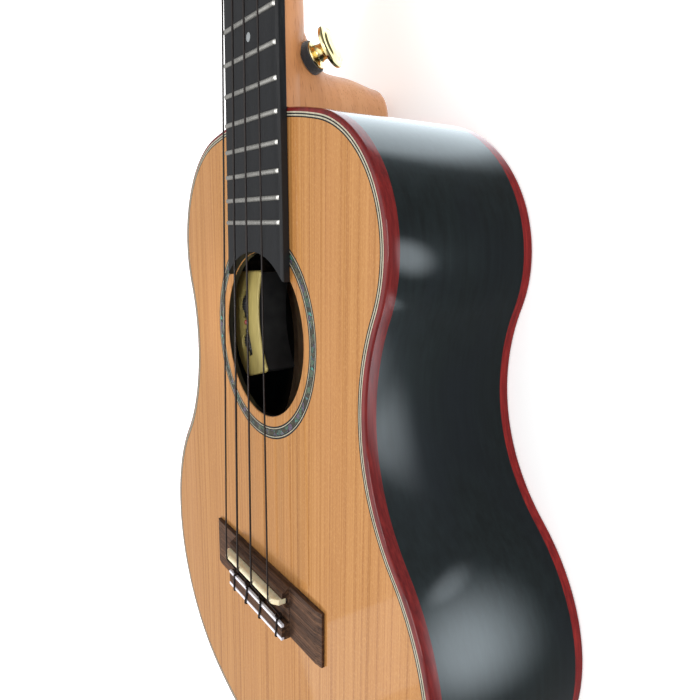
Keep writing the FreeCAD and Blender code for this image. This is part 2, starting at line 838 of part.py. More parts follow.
def string_route(index):
    """Corner points of a string from its tie to just short of its tuning post."""
    radius = STRING_RADII[index]
    x = string_x(index, 0)
    saddle_y = sum(saddle_slot()) / 2
    rear = -size["bridge_rear"]
    block_end = rear + size["tie_block_length"]
    top = size["block_top"] + STRIP_PROUD + radius + TOUCH_GAP
    hole_z = size["tie_hole_height"]
    behind = rear - radius - 3 * TOUCH_GAP
    ahead = block_end + radius + 3 * TOUCH_GAP
    nut_y = size["scale_length"]
    side, centre = POSTS[index]
    inner = centre.x - side * (size["post_radius"] + radius)
    end = HEAD.multVec(Vector(inner, centre.y - 3.2, COIL_MIDDLE))
    points = [
        Vector(x + LOOP_ASIDE, ahead, hole_z + 1.5),
        Vector(x + LOOP_ASIDE, ahead, top),
        Vector(x, behind, top),
        Vector(x, behind, hole_z),
        Vector(x, block_end + 1.2, hole_z),
        Vector(string_x(index, saddle_y), saddle_y - 0.6, size["saddle_top"] + radius + 0.02),
        Vector(string_x(index, nut_y), nut_y + 2.0, size["string_height_nut"] + 0.02),
        end,
    ]
    return points


def strings():
    for index, radius in enumerate(STRING_RADII):
        path = rounded_path(string_route(index), STRING_BENDS)
        feature("string_%d" % (index + 1), tube(path, radius))


# ---------------------------------------------------------------- tuning machines, on the headstock

BUSH_SLEEVE = 4.6
BUSH_LENGTH = 7.0
HEAD_BACK = -(size["overlay_thickness"] + size["head_thickness"])
GEAR_TOP = HEAD_BACK - 2.6
GEAR_THICKNESS = 3.0
WORM_DROP = HEAD_BACK - 4.2
WORM_OFFSET = size["gear_radius"] + size["worm_radius"] + 0.3
WORM_LENGTH = 11.0
SCREW_RADIUS = 1.1
SCREW_HEAD_RADIUS = 2.3


def bushings():
    rings = []
    bore = size["post_radius"] + size["running_gap"]
    for _, centre in POSTS:
        ring = disc(BUSH_SLEEVE, -size["overlay_thickness"] - BUSH_LENGTH, 0, centre)
        ring = ring.fuse(disc(6.0, 0, 1.2, centre)).removeSplitter()
        rings.append(ring.cut(disc(bore, -20, 5, centre)))
    feature("tuner_bushings", Part.makeCompound(rings), STAND.multiply(HEAD))


def screw_shape(centre):
    """Wood screw of a tuning machine: head below its lug, shank up into the headstock."""
    place = Vector(centre.x, centre.y + size["screw_offset"], 0)
    low = HEAD_BACK - size["lug_thickness"]
    head = disc(SCREW_HEAD_RADIUS, low - 1.0, low, place)
    return head.fuse(disc(SCREW_RADIUS, low, HEAD_BACK + 8.0, place))


def tuner_screws():
    screws = [screw_shape(centre).removeSplitter() for _, centre in POSTS]
    feature("tuner_screws", Part.makeCompound(screws), STAND.multiply(HEAD))


def tuner_housing(number, side, centre):
    """Closed gear case on the back of the headstock, with a screw lug."""
    low = HEAD_BACK - size["housing_depth"]
    half = size["housing_half_width"]
    case = box((centre.x - half, centre.y - 12.5, low), (centre.x + half, centre.y + 8.5, HEAD_BACK))
    case = case.makeFillet(3, upright_edges(case))
    case = case.makeFillet(1.2, edges_where(case, lambda p: p.z < low + 0.01))
    lug_end = centre.y + size["screw_offset"] + 4
    lug_low = HEAD_BACK - size["lug_thickness"]
    lug = box((centre.x - 4, centre.y + 6, lug_low), (centre.x + 4, lug_end, HEAD_BACK))
    corners = [edge for edge in upright_edges(lug) if edge.CenterOfMass.y > lug_end - 1]
    case = case.fuse(lug.makeFillet(3.5, corners)).removeSplitter()
    gap = size["housing_gap"]
    case = case.cut(disc(size["gear_radius"] + gap, GEAR_TOP - GEAR_THICKNESS - gap, GEAR_TOP + gap, centre))
    case = case.cut(disc(size["post_radius"] + size["running_gap"], GEAR_TOP, 0, centre))
    worm_y = centre.y - WORM_OFFSET
    inside = Vector(centre.x - side * (WORM_LENGTH / 2 + gap), worm_y, WORM_DROP)
    case = case.cut(rod(size["worm_radius"] + gap, inside, inside + X_AXIS * (side * (WORM_LENGTH + 1))))
    bore = size["worm_shaft_radius"] + size["running_gap"]
    case = case.cut(rod(bore, inside, inside + X_AXIS * (side * 20)))
    screw_place = Vector(centre.x, centre.y + size["screw_offset"], 0)
    case = case.cut(disc(SCREW_RADIUS + size["running_gap"], low - 5, 0, screw_place))
    feature("tuner_%d_housing" % number, case, STAND.multiply(HEAD))


def tuner_post(number, centre):
    """Winding post with its worm gear at the lower end."""
    name = "tuner_%d_post" % number
    shaft = document.addObject("Part::Cylinder", name + "_shaft")
    shaft.setExpression("Radius", "dimensions.post_radius")
    shaft.Height = size["post_height"] - (GEAR_TOP - GEAR_THICKNESS)
    shaft.Placement.Base = Vector(0, 0, GEAR_TOP - GEAR_THICKNESS)
    gear = document.addObject("Part::Cylinder", name + "_gear")
    gear.setExpression("Radius", "dimensions.gear_radius")
    gear.Height = GEAR_THICKNESS
    gear.Placement.Base = Vector(0, 0, GEAR_TOP - GEAR_THICKNESS)
    eye = document.addObject("Part::Cylinder", name + "_eye")
    eye.Radius = 0.8
    eye.Height = 10
    eye.Placement = Placement(Vector(0, 5, COIL_MIDDLE + 2.6), Rotation(X_AXIS, 90))
    joined = document.addObject("Part::Fuse", name + "_joined")
    joined.Base = shaft
    joined.Tool = gear
    post = document.addObject("Part::Cut", name)
    post.Base = joined
    post.Tool = eye
    document.recompute()
    post.Placement.Base = centre
    keep(name, post, STAND.multiply(HEAD))
    low = COIL_MIDDLE - size["coil_height"] / 2
    outer = size["post_radius"] + COIL_THICKNESS
    ring = disc(outer, low, low + size["coil_height"], centre)
    ring = ring.cut(disc(size["post_radius"], low, low + size["coil_height"], centre))
    feature("string_%d_coil" % number, ring, STAND.multiply(HEAD))


def tuner_drive(number, side, centre):
    """Worm on its shaft, and the button that turns it."""
    worm_y = centre.y - WORM_OFFSET
    start = Vector(centre.x - side * WORM_LENGTH / 2, worm_y, WORM_DROP)
    neck_end = size["button_reach"] - size["button_length"]
    end = Vector(side * (neck_end + 3), worm_y, WORM_DROP)
    shaft = rod(size["worm_shaft_radius"], start, end)
    worm = rod(size["worm_radius"], start, start + X_AXIS * (side * WORM_LENGTH))
    feature("tuner_%d_worm" % number, shaft.fuse(worm).removeSplitter(), STAND.multiply(HEAD))
    middle = Vector(side * (size["button_reach"] - size["button_length"] / 2), worm_y, WORM_DROP)
    half = size["button_thickness"] / 2
    curve = Part.Ellipse(ORIGIN, size["button_width"] / 2, size["button_length"] / 2)
    oval = Part.Face(Part.Wire(curve.toShape())).extrude(Vector(0, 0, 2 * half))
    oval = oval.makeFillet(1.8, [edge for edge in oval.Edges if edge.Length > 20])
    oval.Placement = Placement(middle - Vector(0, 0, half), Rotation(Z_AXIS, 90))
    hub = Part.makeCone(2.2, 2.8, 5, end - X_AXIS * (side * 5.5), X_AXIS * side)
    knob = oval.fuse(hub).cut(rod(size["worm_shaft_radius"], start, end)).removeSplitter()
    feature("tuner_%d_button" % number, knob, STAND.multiply(HEAD))


def tuners():
    bushings()
    tuner_screws()
    for number, (side, centre) in enumerate(POSTS, start=1):
        tuner_housing(number, side, centre)
        tuner_post(number, centre)
        tuner_drive(number, side, centre)


# ---------------------------------------------------------------- preamp in the soundhole

def roller_frame(turn):
    """Placement of a roller: its Z points away from the centre of the rollers' row, along its axle."""
    angle = math.radians(180 + turn)
    out = Vector(math.cos(angle), math.sin(angle), 0)
    depth = -size["preamp_face"] - size["roller_radius"] + size["roller_proud"]
    centre = HOLE + ROLLER_CENTRE + out * size["roller_orbit"] + Vector(0, 0, depth)
    return Placement(centre, Rotation(Z_AXIS, out))


def roller_shape(gap):
    """Thumb roller with two stub pins, grown by gap where it is the room round one."""
    half = size["roller_width"] / 2 + 4 * gap
    drum = Part.makeCylinder(size["roller_radius"] + 6 * gap, 2 * half, Vector(0, 0, -half))
    pin = Part.makeCylinder(1 + gap, 2 * half + 4, Vector(0, 0, -half - 2))
    return drum.fuse(pin).removeSplitter()


# Centres of the preamp's outer curve, its inner bite and the rollers' row, from the soundhole's centre.
PREAMP_CENTRE = Vector(-11.9, 2.6, 0)
PREAMP_BITE = Vector(22.6, 6.9, 0)
ROLLER_CENTRE = Vector(5, 4.5, 0)
# Each roller and how far round its row it sits, in degrees.
ROLLERS = (("volume_roller", -7), ("tone_roller", 20))
# Plan of the wedge that ends the crescent on both sides.
PREAMP_WEDGE = ((-60, 73), (0, 90.7), (0, 133.9), (-60, 129))
# How far the foot stands inside the crescent's outer curve.
FOOT_INSET = 0.6


def preamp():
    """Crescent housing, the foot that holds it under the soundboard, and its two rollers."""
    face = -size["preamp_face"]
    low = face - size["preamp_depth"]
    outer = size["preamp_outer"]
    middle = HOLE + PREAMP_CENTRE
    case = disc(outer, low, face, middle)
    case = case.cut(disc(size["preamp_bite_radius"], low - 1, face + 1, HOLE + PREAMP_BITE))
    case = case.common(prism(PREAMP_WEDGE, face - low, low))
    case = case.makeFillet(3.5, [edge for edge in upright_edges(case) if edge.Length > 14])
    case = case.makeFillet(1.5, edges_where(case, lambda p: p.z > face - 0.01))
    foot_outer = outer - FOOT_INSET
    foot = disc(foot_outer, face - 3, -size["top_thickness"], middle)
    foot = foot.cut(disc(foot_outer - size["preamp_foot_wall"], face - 4, 0, middle))
    foot = foot.common(box((-60, size["preamp_foot_start"], -20), (0, size["preamp_foot_end"], 0)))
    case = case.fuse(foot).removeSplitter()
    for name, turn in ROLLERS:
        room = roller_shape(size["running_gap"])
        room.Placement = roller_frame(turn)
        case = case.cut(room)
        feature(name, roller_shape(0), STAND.multiply(roller_frame(turn)))
    feature("preamp_housing", case)


# ---------------------------------------------------------------- strap button and output jack

# The strap button leans out of the heel's treble side, towards the headstock and the back.
STRAP_AXIS = Vector(0.80, 0.36, -0.48)
# How far the screw reaches into the heel and into the button, and the height cut clear for the washer.
SCREW_IN_HEEL = 14
SCREW_IN_BUTTON = 8.5
SEAT_CLEARANCE = 8


def strap_start():
    """Centre of the washer's seat on the heel."""
    return Vector(size["strap_button_x"], size["strap_button_y"], -size["strap_button_drop"])


# Outside of the strap button, from its flange to its cap: (radius, height).
BUTTON_PROFILE = ((5.2, 0), (5.2, 0.7), (3.9, 1.3), (3.1, 2.2), (3.0, 4.0), (3.6, 5.0), (5.6, 5.7),
                  (7.8, 6.3), (7.8, 7.5), (6.9, 8.3), (5.6, 8.3), (5.0, 8.8), (0, 9.0))


def strap_screw_shape():
    tip = strap_start() - STRAP_AXIS * SCREW_IN_HEEL
    head = strap_start() + STRAP_AXIS * SCREW_IN_BUTTON
    return rod(size["strap_screw_radius"], tip, head)


def strap_seat_shape():
    """Round pocket in the heel that gives the washer a flat seat."""
    start = strap_start()
    return rod(size["washer_radius"] + size["washer_seat_gap"], start, start + STRAP_AXIS * SEAT_CLEARANCE)


def strap_button():
    start = strap_start()
    bore = size["strap_screw_radius"] + size["running_gap"]
    outer = size["washer_radius"]
    thickness = size["washer_thickness"]
    washer = [(bore, 0), (outer, 0), (outer, thickness), (bore, thickness)]
    feature("strap_button_washer", turned(washer, start, STRAP_AXIS))
    button = [(bore, 0), *BUTTON_PROFILE, (0, 7.0), (bore, 7.0)]
    feature("strap_button", turned(button, start + STRAP_AXIS * thickness, STRAP_AXIS))
    feature("strap_button_screw", strap_screw_shape())


# Outside end of the output jack, beyond the tail: (radius, height above the tail).
JACK_PROFILE = ((8.0, 0.4), (8.0, 1.8), (6.6, 2.8), (5.6, 4.2), (5.6, 8.0), (6.6, 9.6), (7.6, 10.4),
                (7.6, 11.8), (6.8, 12.6))
LOCKNUT_RADIUS = 9.0


def output_jack():
    start = Vector(0, -size["tail_reach"] + size["tail_block_length"] + 6, -size["jack_drop"])
    bore = size["jack_bore_radius"]
    barrel = size["jack_radius"] - size["running_gap"]
    wall = size["tail_block_length"] + 6.0
    outside = [(radius, wall + height) for radius, height in JACK_PROFILE]
    profile = [(bore, 0), (barrel, 0), (barrel, outside[0][1]), *outside, (bore, outside[-1][1])]
    feature("output_jack", turned(profile, start, -Y_AXIS))
    angles = [math.radians(60 * corner) for corner in range(6)]
    hexagon = [(LOCKNUT_RADIUS * math.cos(angle), LOCKNUT_RADIUS * math.sin(angle)) for angle in angles]
    locknut = prism(hexagon, 3).cut(disc(barrel, -1, 4))
    locknut.Placement = Placement(start - Y_AXIS * 2.9, Rotation(Z_AXIS, -Y_AXIS))
    feature("jack_nut", locknut)


# ---------------------------------------------------------------- build, check and write

def build():
    soundboard()
    inlays()
    back()
    bindings()
    sides()
    blocks_and_linings()
    bridge_plate()
    braces()
    neck()
    headstock_overlay()
    fretboard()
    nut()
    bridge()
    piezo_pickup()
    saddle()
    strings()
    tuners()
    preamp()
    strap_button()
    output_jack()
    document.recompute()


def check():
    for item in document.Objects:
        if "Invalid" in item.State or "Error" in item.State:
            raise RuntimeError("%s failed: %s" % (item.Label, item.State))
    for name, item in nodes.items():
        shape = item.Shape
        if shape.isNull() or not shape.isValid() or shape.Volume <= 0:
            raise RuntimeError("%s has a bad shape" % name)
        if not all(solid.isClosed() for solid in shape.Solids) or not shape.Solids:
            raise RuntimeError("%s is not closed" % name)


def write():
    os.makedirs("parts", exist_ok=True)
    for name, item in sorted(nodes.items()):
        item.Shape.exportStep("parts/%s.step" % name)
        bounds = item.Shape.BoundBox
        print("%-22s %2d solids %9.1f mm3  x %.1f..%.1f y %.1f..%.1f z %.1f..%.1f" % (
            name, len(item.Shape.Solids), item.Shape.Volume, bounds.XMin, bounds.XMax,
            bounds.YMin, bounds.YMax, bounds.ZMin, bounds.ZMax))
    print(len(nodes), "sub-parts")


build()
check()
write()
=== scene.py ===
"""How the tenor ukulele looks: its shells, inlays, strings and fittings as smooth meshes, and all materials.

Lengths are millimetres in the instrument frame: the soundboard's face is Z = 0, the saddle is at Y = 0,
the strings run along +Y to the nut and +X is the treble side. STAND turns that frame into the frame of
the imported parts, in metres, with the flat back on the floor. HEAD is the headstock's own tilted face.
"""
import json
import math

import bmesh
import bpy
from mathutils import Matrix, Vector


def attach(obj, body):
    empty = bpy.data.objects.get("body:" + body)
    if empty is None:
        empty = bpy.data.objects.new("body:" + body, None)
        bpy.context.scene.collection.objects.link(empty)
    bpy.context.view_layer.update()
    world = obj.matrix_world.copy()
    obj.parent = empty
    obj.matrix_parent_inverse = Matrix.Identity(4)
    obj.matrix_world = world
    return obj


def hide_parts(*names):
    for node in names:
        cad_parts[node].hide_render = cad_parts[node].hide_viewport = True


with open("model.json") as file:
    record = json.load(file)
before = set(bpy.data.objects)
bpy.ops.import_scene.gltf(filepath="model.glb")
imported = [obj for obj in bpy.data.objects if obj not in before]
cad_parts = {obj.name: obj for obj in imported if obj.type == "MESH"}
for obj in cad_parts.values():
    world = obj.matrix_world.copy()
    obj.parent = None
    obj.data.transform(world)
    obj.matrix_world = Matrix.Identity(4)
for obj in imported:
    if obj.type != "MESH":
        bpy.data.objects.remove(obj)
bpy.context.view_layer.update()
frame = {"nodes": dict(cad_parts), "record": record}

MM = 0.001
BODY = "ukulele"
UP = Vector((0, 0, 1))

# ---------------------------------------------------------------- dimensions of the instrument

SCALE_LENGTH = 432.0
BODY_END = SCALE_LENGTH * 2 ** (-14 / 12)
BODY_TOP = BODY_END + 3.1
SADDLE_DEPTH = 75.2
BACK_SLOPE = math.radians(3.5)
ARC_SIZES = {"top": 215.0, "upper": 49.8, "waist": 76.7, "lower": 81.5, "tail": 169.0}
UPPER_HALF_WIDTH = 84.8
LOWER_HALF_WIDTH = 113.0
TAIL_REACH = 100.0
RIM = 1.7
BINDING_DEPTH = 5.0
BINDING_ROUND = 1.25
PURFLING_WIDTH = 2.0
TOP_THICKNESS = 2.5
BACK_THICKNESS = 2.3
INLAY_DEPTH = 1.2
GRAFT_HALF = 9.0
HOLE_Y = 106.5
HOLE_RADIUS = 34.5
ROSETTE_INNER = 38.8
ROSETTE_OUTER = 44.1
NUT_LENGTH = 5.0
HEAD_TILT = math.radians(9)
HEAD_RISE = 1.6
POST_ACROSS = 36.0
POST_FIRST = 36.0
POST_PITCH = 50.0
POST_RADIUS = 3.0


def on_back():
    """The instrument frame, laid on its flat back."""
    foot = Vector((0, math.sin(BACK_SLOPE), math.cos(BACK_SLOPE))) * SADDLE_DEPTH
    return Matrix.Scale(MM, 4) @ Matrix.Translation(foot) @ Matrix.Rotation(-BACK_SLOPE, 4, "X")


def on_head():
    """The headstock's tilted face, in the instrument frame."""
    start = Vector((0, SCALE_LENGTH + NUT_LENGTH, HEAD_RISE))
    return Matrix.Translation(start) @ Matrix.Rotation(-HEAD_TILT, 4, "X")


STAND = on_back()
HEAD = on_head()


# ---------------------------------------------------------------- materials

class Wiring:
    """Short calls that add shader nodes to a tree and link them; place holds the usual coordinates."""

    def __init__(self, tree, coordinates="Object"):
        self.tree = tree
        self.place = self.node("TexCoord", {}).outputs[coordinates]

    def node(self, kind, inputs, **settings):
        made = self.tree.nodes.new("ShaderNode" + kind)
        for key, value in settings.items():
            setattr(made, key, value)
        for key, value in inputs.items():
            self.feed(made.inputs[key], value)
        return made

    def feed(self, socket, value):
        if isinstance(value, bpy.types.NodeSocket):
            self.tree.links.new(value, socket)
        else:
            socket.default_value = value

    def split(self, vector=None):
        """The x, y and z of a vector, or of the usual coordinates in metres."""
        return self.node("SeparateXYZ", {"Vector": vector or self.place}).outputs

    def calc(self, operation, first, second=0.0):
        """The result of a Math operation such as ADD or MULTIPLY."""
        return self.node("Math", {0: first, 1: second}, operation=operation).outputs[0]

    def fade(self, value, low, high, start=0.0, end=1.0, curve="SMOOTHSTEP"):
        """The value from low to high, spread over start to end and held there."""
        inputs = {"Value": value, 1: low, 2: high, 3: start, 4: end}
        return self.node("MapRange", inputs, interpolation_type=curve).outputs[0]


class Look(Wiring):
    """A material being made: a Principled shader, and what a surface needs wired into it."""

    def __init__(self, name, **plain):
        self.material = bpy.data.materials.new(name)
        self.material.use_nodes = True
        super().__init__(self.material.node_tree)
        self.shader = self.tree.nodes["Principled BSDF"]
        for key, value in plain.items():
            self.plain(key.replace("_", " ").title().replace("Ior", "IOR"), value)

    def plain(self, socket, value):
        """A value that is the same all over the surface, on the shader's own socket."""
        self.shader.inputs[socket].default_value = value

    def stretch(self, x, y, z, place=None):
        """Object coordinates divided by a feature size in millimetres along each axis."""
        scale = [1 / (size * MM) for size in (x, y, z)]
        return self.node("Mapping", {"Vector": place or self.place, "Scale": scale}).outputs[0]

    def noise(self, where, detail=3.0, roughness=0.55, distortion=0.0):
        inputs = {"Vector": where, "Scale": 1.0, "Detail": detail, "Roughness": roughness,
                  "Distortion": distortion}
        return self.node("TexNoise", inputs).outputs["Fac"]

    def voronoi(self, where, output="Distance", feature="F1"):
        return self.node("TexVoronoi", {"Vector": where, "Scale": 1.0}, feature=feature).outputs[output]

    def join(self, x, y, z):
        return self.node("CombineXYZ", {"X": x, "Y": y, "Z": z}).outputs[0]

    def ramp(self, value, *stops):
        """Colours along a value from 0 to 1, as (place, colour)."""
        made = self.node("ValToRGB", {"Fac": value})
        colours = made.color_ramp.elements
        colours.remove(colours[1])
        colours[0].position = stops[0][0]
        colours[0].color = (*stops[0][1], 1)
        for where, colour in stops[1:]:
            colours.new(where).color = (*colour, 1)
        return made.outputs["Color"]

    def mix(self, share, first, second, blend="MIX"):
        made = self.node("Mix", {0: share}, data_type="RGBA", blend_type=blend)
        for index, colour in ((6, first), (7, second)):
            self.feed(made.inputs[index], (*colour, 1) if isinstance(colour, tuple) else colour)
        return made.outputs[2]

    def bump(self, height, depth):
        """Relief of that depth in millimetres under the light."""
        inputs = {"Height": height, "Distance": depth * MM, "Strength": 1.0}
        self.feed(self.shader.inputs["Normal"], self.node("Bump", inputs).outputs[0])

    def colour(self, value):
        self.feed(self.shader.inputs["Base Color"], value)

    def rough(self, value):
        self.feed(self.shader.inputs["Roughness"], value)


def lacquer(look, depth=1.0, roughness=0.03, ior=1.5):
    """A clear gloss coat over the surface."""
    look.plain("Coat Weight", depth)
    look.plain("Coat Roughness", roughness)
    look.plain("Coat IOR", ior)


# Darker lines along the cedar, the same on both halves: distance from the centre seam, half width, strength.
CEDAR_STREAKS = ((6.0, 0.4, 0.5), (17.5, 0.4, 0.7), (26.0, 0.45, 0.9), (33.5, 0.35, 0.75), (40.5, 0.5, 0.5),
                 (47.0, 0.9, 0.4), (61.0, 0.5, 0.5), (78.0, 0.9, 0.4))
# The drift of the grain moves every line outwards by about half of its reach.
GRAIN_REACH = 0.004


def cedar():
    """Quarter-sawn cedar in two matched halves, its grain along the strings, under gloss lacquer."""
    look = Look("lacquered_cedar", specular_ior_level=0.2)
    x, y, z = look.split()
    across = look.calc("ABSOLUTE", x)
    drift = look.noise(look.stretch(60, 320, 60, look.join(across, y, z)), detail=1)
    sway = look.calc("ADD", across, look.calc("MULTIPLY", drift, GRAIN_REACH))
    swayed = look.join(sway, y, z)
    rings = look.noise(look.stretch(1.05, 420, 50, swayed), detail=2, roughness=0.55)
    fine = look.noise(look.stretch(0.42, 60, 5, swayed), detail=2)
    fleck = look.noise(look.stretch(0.5, 1.1, 2, swayed), detail=2, roughness=0.7)
    broad = look.noise(look.stretch(26, 260, 60, swayed), detail=2)
    wood = look.ramp(rings, (0.30, (0.255, 0.098, 0.020)), (0.47, (0.385, 0.173, 0.046)),
                     (0.72, (0.440, 0.214, 0.066)))
    wood = look.mix(look.fade(broad, 0.35, 0.7, 0.0, 0.40), wood, (0.42, 0.195, 0.070))
    wood = look.mix(look.fade(fine, 0.35, 0.75, 0.0, 0.35), wood, (0.25, 0.090, 0.018))
    wood = look.mix(look.fade(fleck, 0.45, 0.72, 0.0, 0.38), wood, (0.52, 0.275, 0.095))
    streak = 0.0
    for place_x, width, strength in CEDAR_STREAKS:
        away = look.calc("ABSOLUTE", look.calc("SUBTRACT", sway, place_x * MM + GRAIN_REACH / 2))
        line = look.fade(away, 0.0, width * MM, strength, 0.0)
        streak = look.calc("MAXIMUM", line, streak)
    wood = look.mix(streak, wood, (0.28, 0.110, 0.014))
    look.colour(wood)
    look.rough(look.fade(fine, 0.2, 0.8, 0.36, 0.48))
    look.bump(rings, 0.006)
    lacquer(look, 0.9, 0.05, 1.4)
    return look.material


def black_lacquer():
    """Near-black wood with a green cast, deep under polished lacquer."""
    look = Look("black_green_lacquer", specular_ior_level=0.3, roughness=0.35)
    grain = look.noise(look.stretch(3, 120, 2.2), detail=5, roughness=0.65)
    flame = look.noise(look.stretch(90, 60, 30), detail=2)
    wood = look.ramp(grain, (0.35, (0.0025, 0.0052, 0.0055)), (0.62, (0.0060, 0.0110, 0.0118)),
                     (0.85, (0.013, 0.016, 0.016)))
    look.colour(look.mix(look.fade(flame, 0.4, 0.7, 0.0, 0.6), wood, (0.0045, 0.0068, 0.011)))
    ripple = look.noise(look.stretch(16, 16, 260), detail=1)
    look.bump(ripple, 0.012)
    look.plain("Coat Tint", (0.90, 0.97, 1.0, 1.0))
    lacquer(look, 1.0, 0.045)
    return look.material


def red_binding(name, pale):
    """Red stained maple with a faint streak along it, polished; pale scales the stain's brightness to paint
    the light that each edge gets.
    """
    look = Look(name, roughness=0.32, specular_ior_level=0.2)
    streaks = look.noise(look.stretch(2.4, 26, 1.1), detail=4, roughness=0.6)
    stain = look.ramp(streaks, (0.3, (0.10, 0.005, 0.006)), (0.55, (0.18, 0.010, 0.009)),
                      (0.8, (0.27, 0.022, 0.016)))
    # Painted light and shade: the stain is made darker or lighter by pale.
    look.colour(look.mix(1.0, stain, (pale, pale, pale), "MULTIPLY"))
    look.plain("Coat Tint", (1.0, 0.90, 0.92, 1.0))
    lacquer(look, 0.8, 0.04, 1.4)
    return look.material


def inlay(name, dark, light):
    """A thin polished line let into the wood."""
    look = Look(name, roughness=0.35, specular_ior_level=0.2)
    speck = look.noise(look.stretch(0.8, 5, 0.8), detail=3)
    look.colour(look.ramp(speck, (0.35, dark), (0.7, light)))
    lacquer(look, 0.3)
    return look.material


def abalone():
    """Dark shell laid in small pieces, mostly grey and olive, with flashes of green, blue and pink."""
    look = Look("abalone", roughness=0.22)
    chips = look.stretch(2.2, 2.2, 2.2)
    tint = look.node("TexVoronoi", {"Vector": chips, "Scale": 1.0}, feature="F1")
    shade = look.split(tint.outputs["Color"])[0]
    swirl = look.noise(look.stretch(0.9, 0.9, 0.9), detail=4, roughness=0.75, distortion=2.6)
    mixed = look.calc("ADD", look.calc("MULTIPLY", shade, 0.42), look.calc("MULTIPLY", swirl, 0.62))
    shell = look.ramp(mixed, (0.24, (0.010, 0.012, 0.012)), (0.36, (0.075, 0.064, 0.036)),
                      (0.43, (0.016, 0.019, 0.018)), (0.50, (0.17, 0.150, 0.095)),
                      (0.56, (0.025, 0.17, 0.110)), (0.60, (0.028, 0.028, 0.024)),
                      (0.66, (0.22, 0.13, 0.24)), (0.71, (0.018, 0.022, 0.026)),
                      (0.77, (0.12, 0.70, 0.45)), (0.84, (0.04, 0.12, 0.30)))
    edges = look.voronoi(chips, feature="DISTANCE_TO_EDGE")
    look.colour(look.mix(look.fade(edges, 0.0, 0.05), (0.012, 0.014, 0.015), shell))
    look.plain("Metallic", 0.3)
    lacquer(look, 0.4, 0.03, 1.45)
    return look.material


def mahogany():
    """Light mahogany with open pores, satin."""
    look = Look("satin_mahogany", specular_ior_level=0.3)
    band = look.noise(look.stretch(7, 90, 7), detail=3, distortion=0.6)
    pores = look.noise(look.stretch(0.42, 5.5, 0.42), detail=2, roughness=0.5)
    pore = look.fade(pores, 0.60, 0.70)
    ribbon = look.noise(look.stretch(14, 22, 20), detail=2)
    wood = look.ramp(band, (0.3, (0.46, 0.185, 0.062)), (0.55, (0.56, 0.245, 0.090)),
                     (0.8, (0.62, 0.30, 0.13)))
    wood = look.mix(look.fade(ribbon, 0.35, 0.7, 0.0, 0.35), wood, (0.66, 0.32, 0.15))
    look.colour(look.mix(look.calc("MULTIPLY", pore, 0.55), wood, (0.24, 0.08, 0.022)))
    look.rough(look.fade(pores, 0.4, 0.75, 0.38, 0.58))
    look.bump(look.calc("SUBTRACT", 1.0, pore), 0.03)
    return look.material


def rosewood():
    """Rosewood with dark streaks and open pores along its length, satin."""
    look = Look("rosewood", specular_ior_level=0.3)
    band = look.noise(look.stretch(60, 1.1, 1.6), detail=5, roughness=0.65, distortion=0.3)
    pores = look.noise(look.stretch(5, 0.25, 0.35), detail=2)
    pore = look.fade(pores, 0.56, 0.66)
    wood = look.ramp(band, (0.33, (0.014, 0.006, 0.003)), (0.5, (0.062, 0.028, 0.014)),
                     (0.68, (0.135, 0.066, 0.033)))
    look.colour(look.mix(look.calc("MULTIPLY", pore, 0.8), wood, (0.010, 0.006, 0.004)))
    look.rough(look.fade(pores, 0.4, 0.7, 0.5, 0.7))
    look.bump(look.calc("SUBTRACT", 1.0, pore), 0.03)
    return look.material


def ebony():
    """Ebony, oiled and rubbed to a satin sheen."""
    look = Look("ebony", specular_ior_level=0.38)
    grain = look.noise(look.stretch(0.9, 45, 0.9), detail=4, roughness=0.65)
    pores = look.fade(look.noise(look.stretch(0.3, 6, 0.3), detail=1), 0.62, 0.70)
    wood = look.ramp(grain, (0.3, (0.003, 0.0035, 0.0045)), (0.6, (0.006, 0.007, 0.009)),
                     (0.85, (0.013, 0.014, 0.017)))
    look.colour(look.mix(look.calc("MULTIPLY", pores, 0.5), wood, (0.003, 0.003, 0.004)))
    look.rough(look.fade(grain, 0.3, 0.8, 0.40, 0.50))
    look.bump(look.calc("SUBTRACT", 1.0, pores), 0.02)
    return look.material


def bare_wood():
    """Sanded linden and spruce inside the body."""
    look = Look("bare_wood", specular_ior_level=0.2, roughness=0.75)
    grain = look.noise(look.stretch(2.5, 40, 2.5), detail=3)
    look.colour(look.ramp(grain, (0.3, (0.40, 0.25, 0.14)), (0.7, (0.56, 0.39, 0.24))))
    look.bump(grain, 0.02)
    return look.material


def metal(name, dark, light, roughness, lines=(0.6, 0.6, 0.6)):
    """Polished metal with a faint drift of tone and fine wipe marks."""
    look = Look(name, metallic=1.0)
    tone = look.noise(look.stretch(6, 6, 6), detail=2)
    marks = look.noise(look.stretch(*lines), detail=3, roughness=0.7)
    look.colour(look.ramp(tone, (0.3, dark), (0.7, light)))
    look.rough(look.fade(marks, 0.3, 0.7, roughness * 0.75, roughness * 1.3))
    return look.material


def bone():
    """Polished bone, cream with a warm drift and short pores."""
    look = Look("bone", roughness=0.28, subsurface_weight=0.12, subsurface_scale=0.0015)
    look.plain("Subsurface Radius", (1.0, 0.6, 0.35))
    cloud = look.noise(look.stretch(9, 3, 3), detail=3)
    pores = look.noise(look.stretch(1.6, 0.25, 0.25), detail=1)
    tone = look.ramp(cloud, (0.3, (0.70, 0.60, 0.38)), (0.7, (0.83, 0.76, 0.55)))
    look.colour(look.mix(look.fade(pores, 0.64, 0.74, 0.0, 0.35), tone, (0.46, 0.36, 0.2)))
    return look.material


def plastic(name, dark, light, roughness, grain=0.35, relief=0.006):
    """Moulded plastic with a fine texture."""
    look = Look(name, specular_ior_level=0.45)
    fine = look.noise(look.stretch(grain, grain, grain), detail=2)
    tone = look.noise(look.stretch(7, 7, 7), detail=2)
    look.colour(look.ramp(tone, (0.3, dark), (0.7, light)))
    look.rough(look.fade(fine, 0.3, 0.7, roughness * 0.85, roughness * 1.15))
    look.bump(fine, relief)
    return look.material


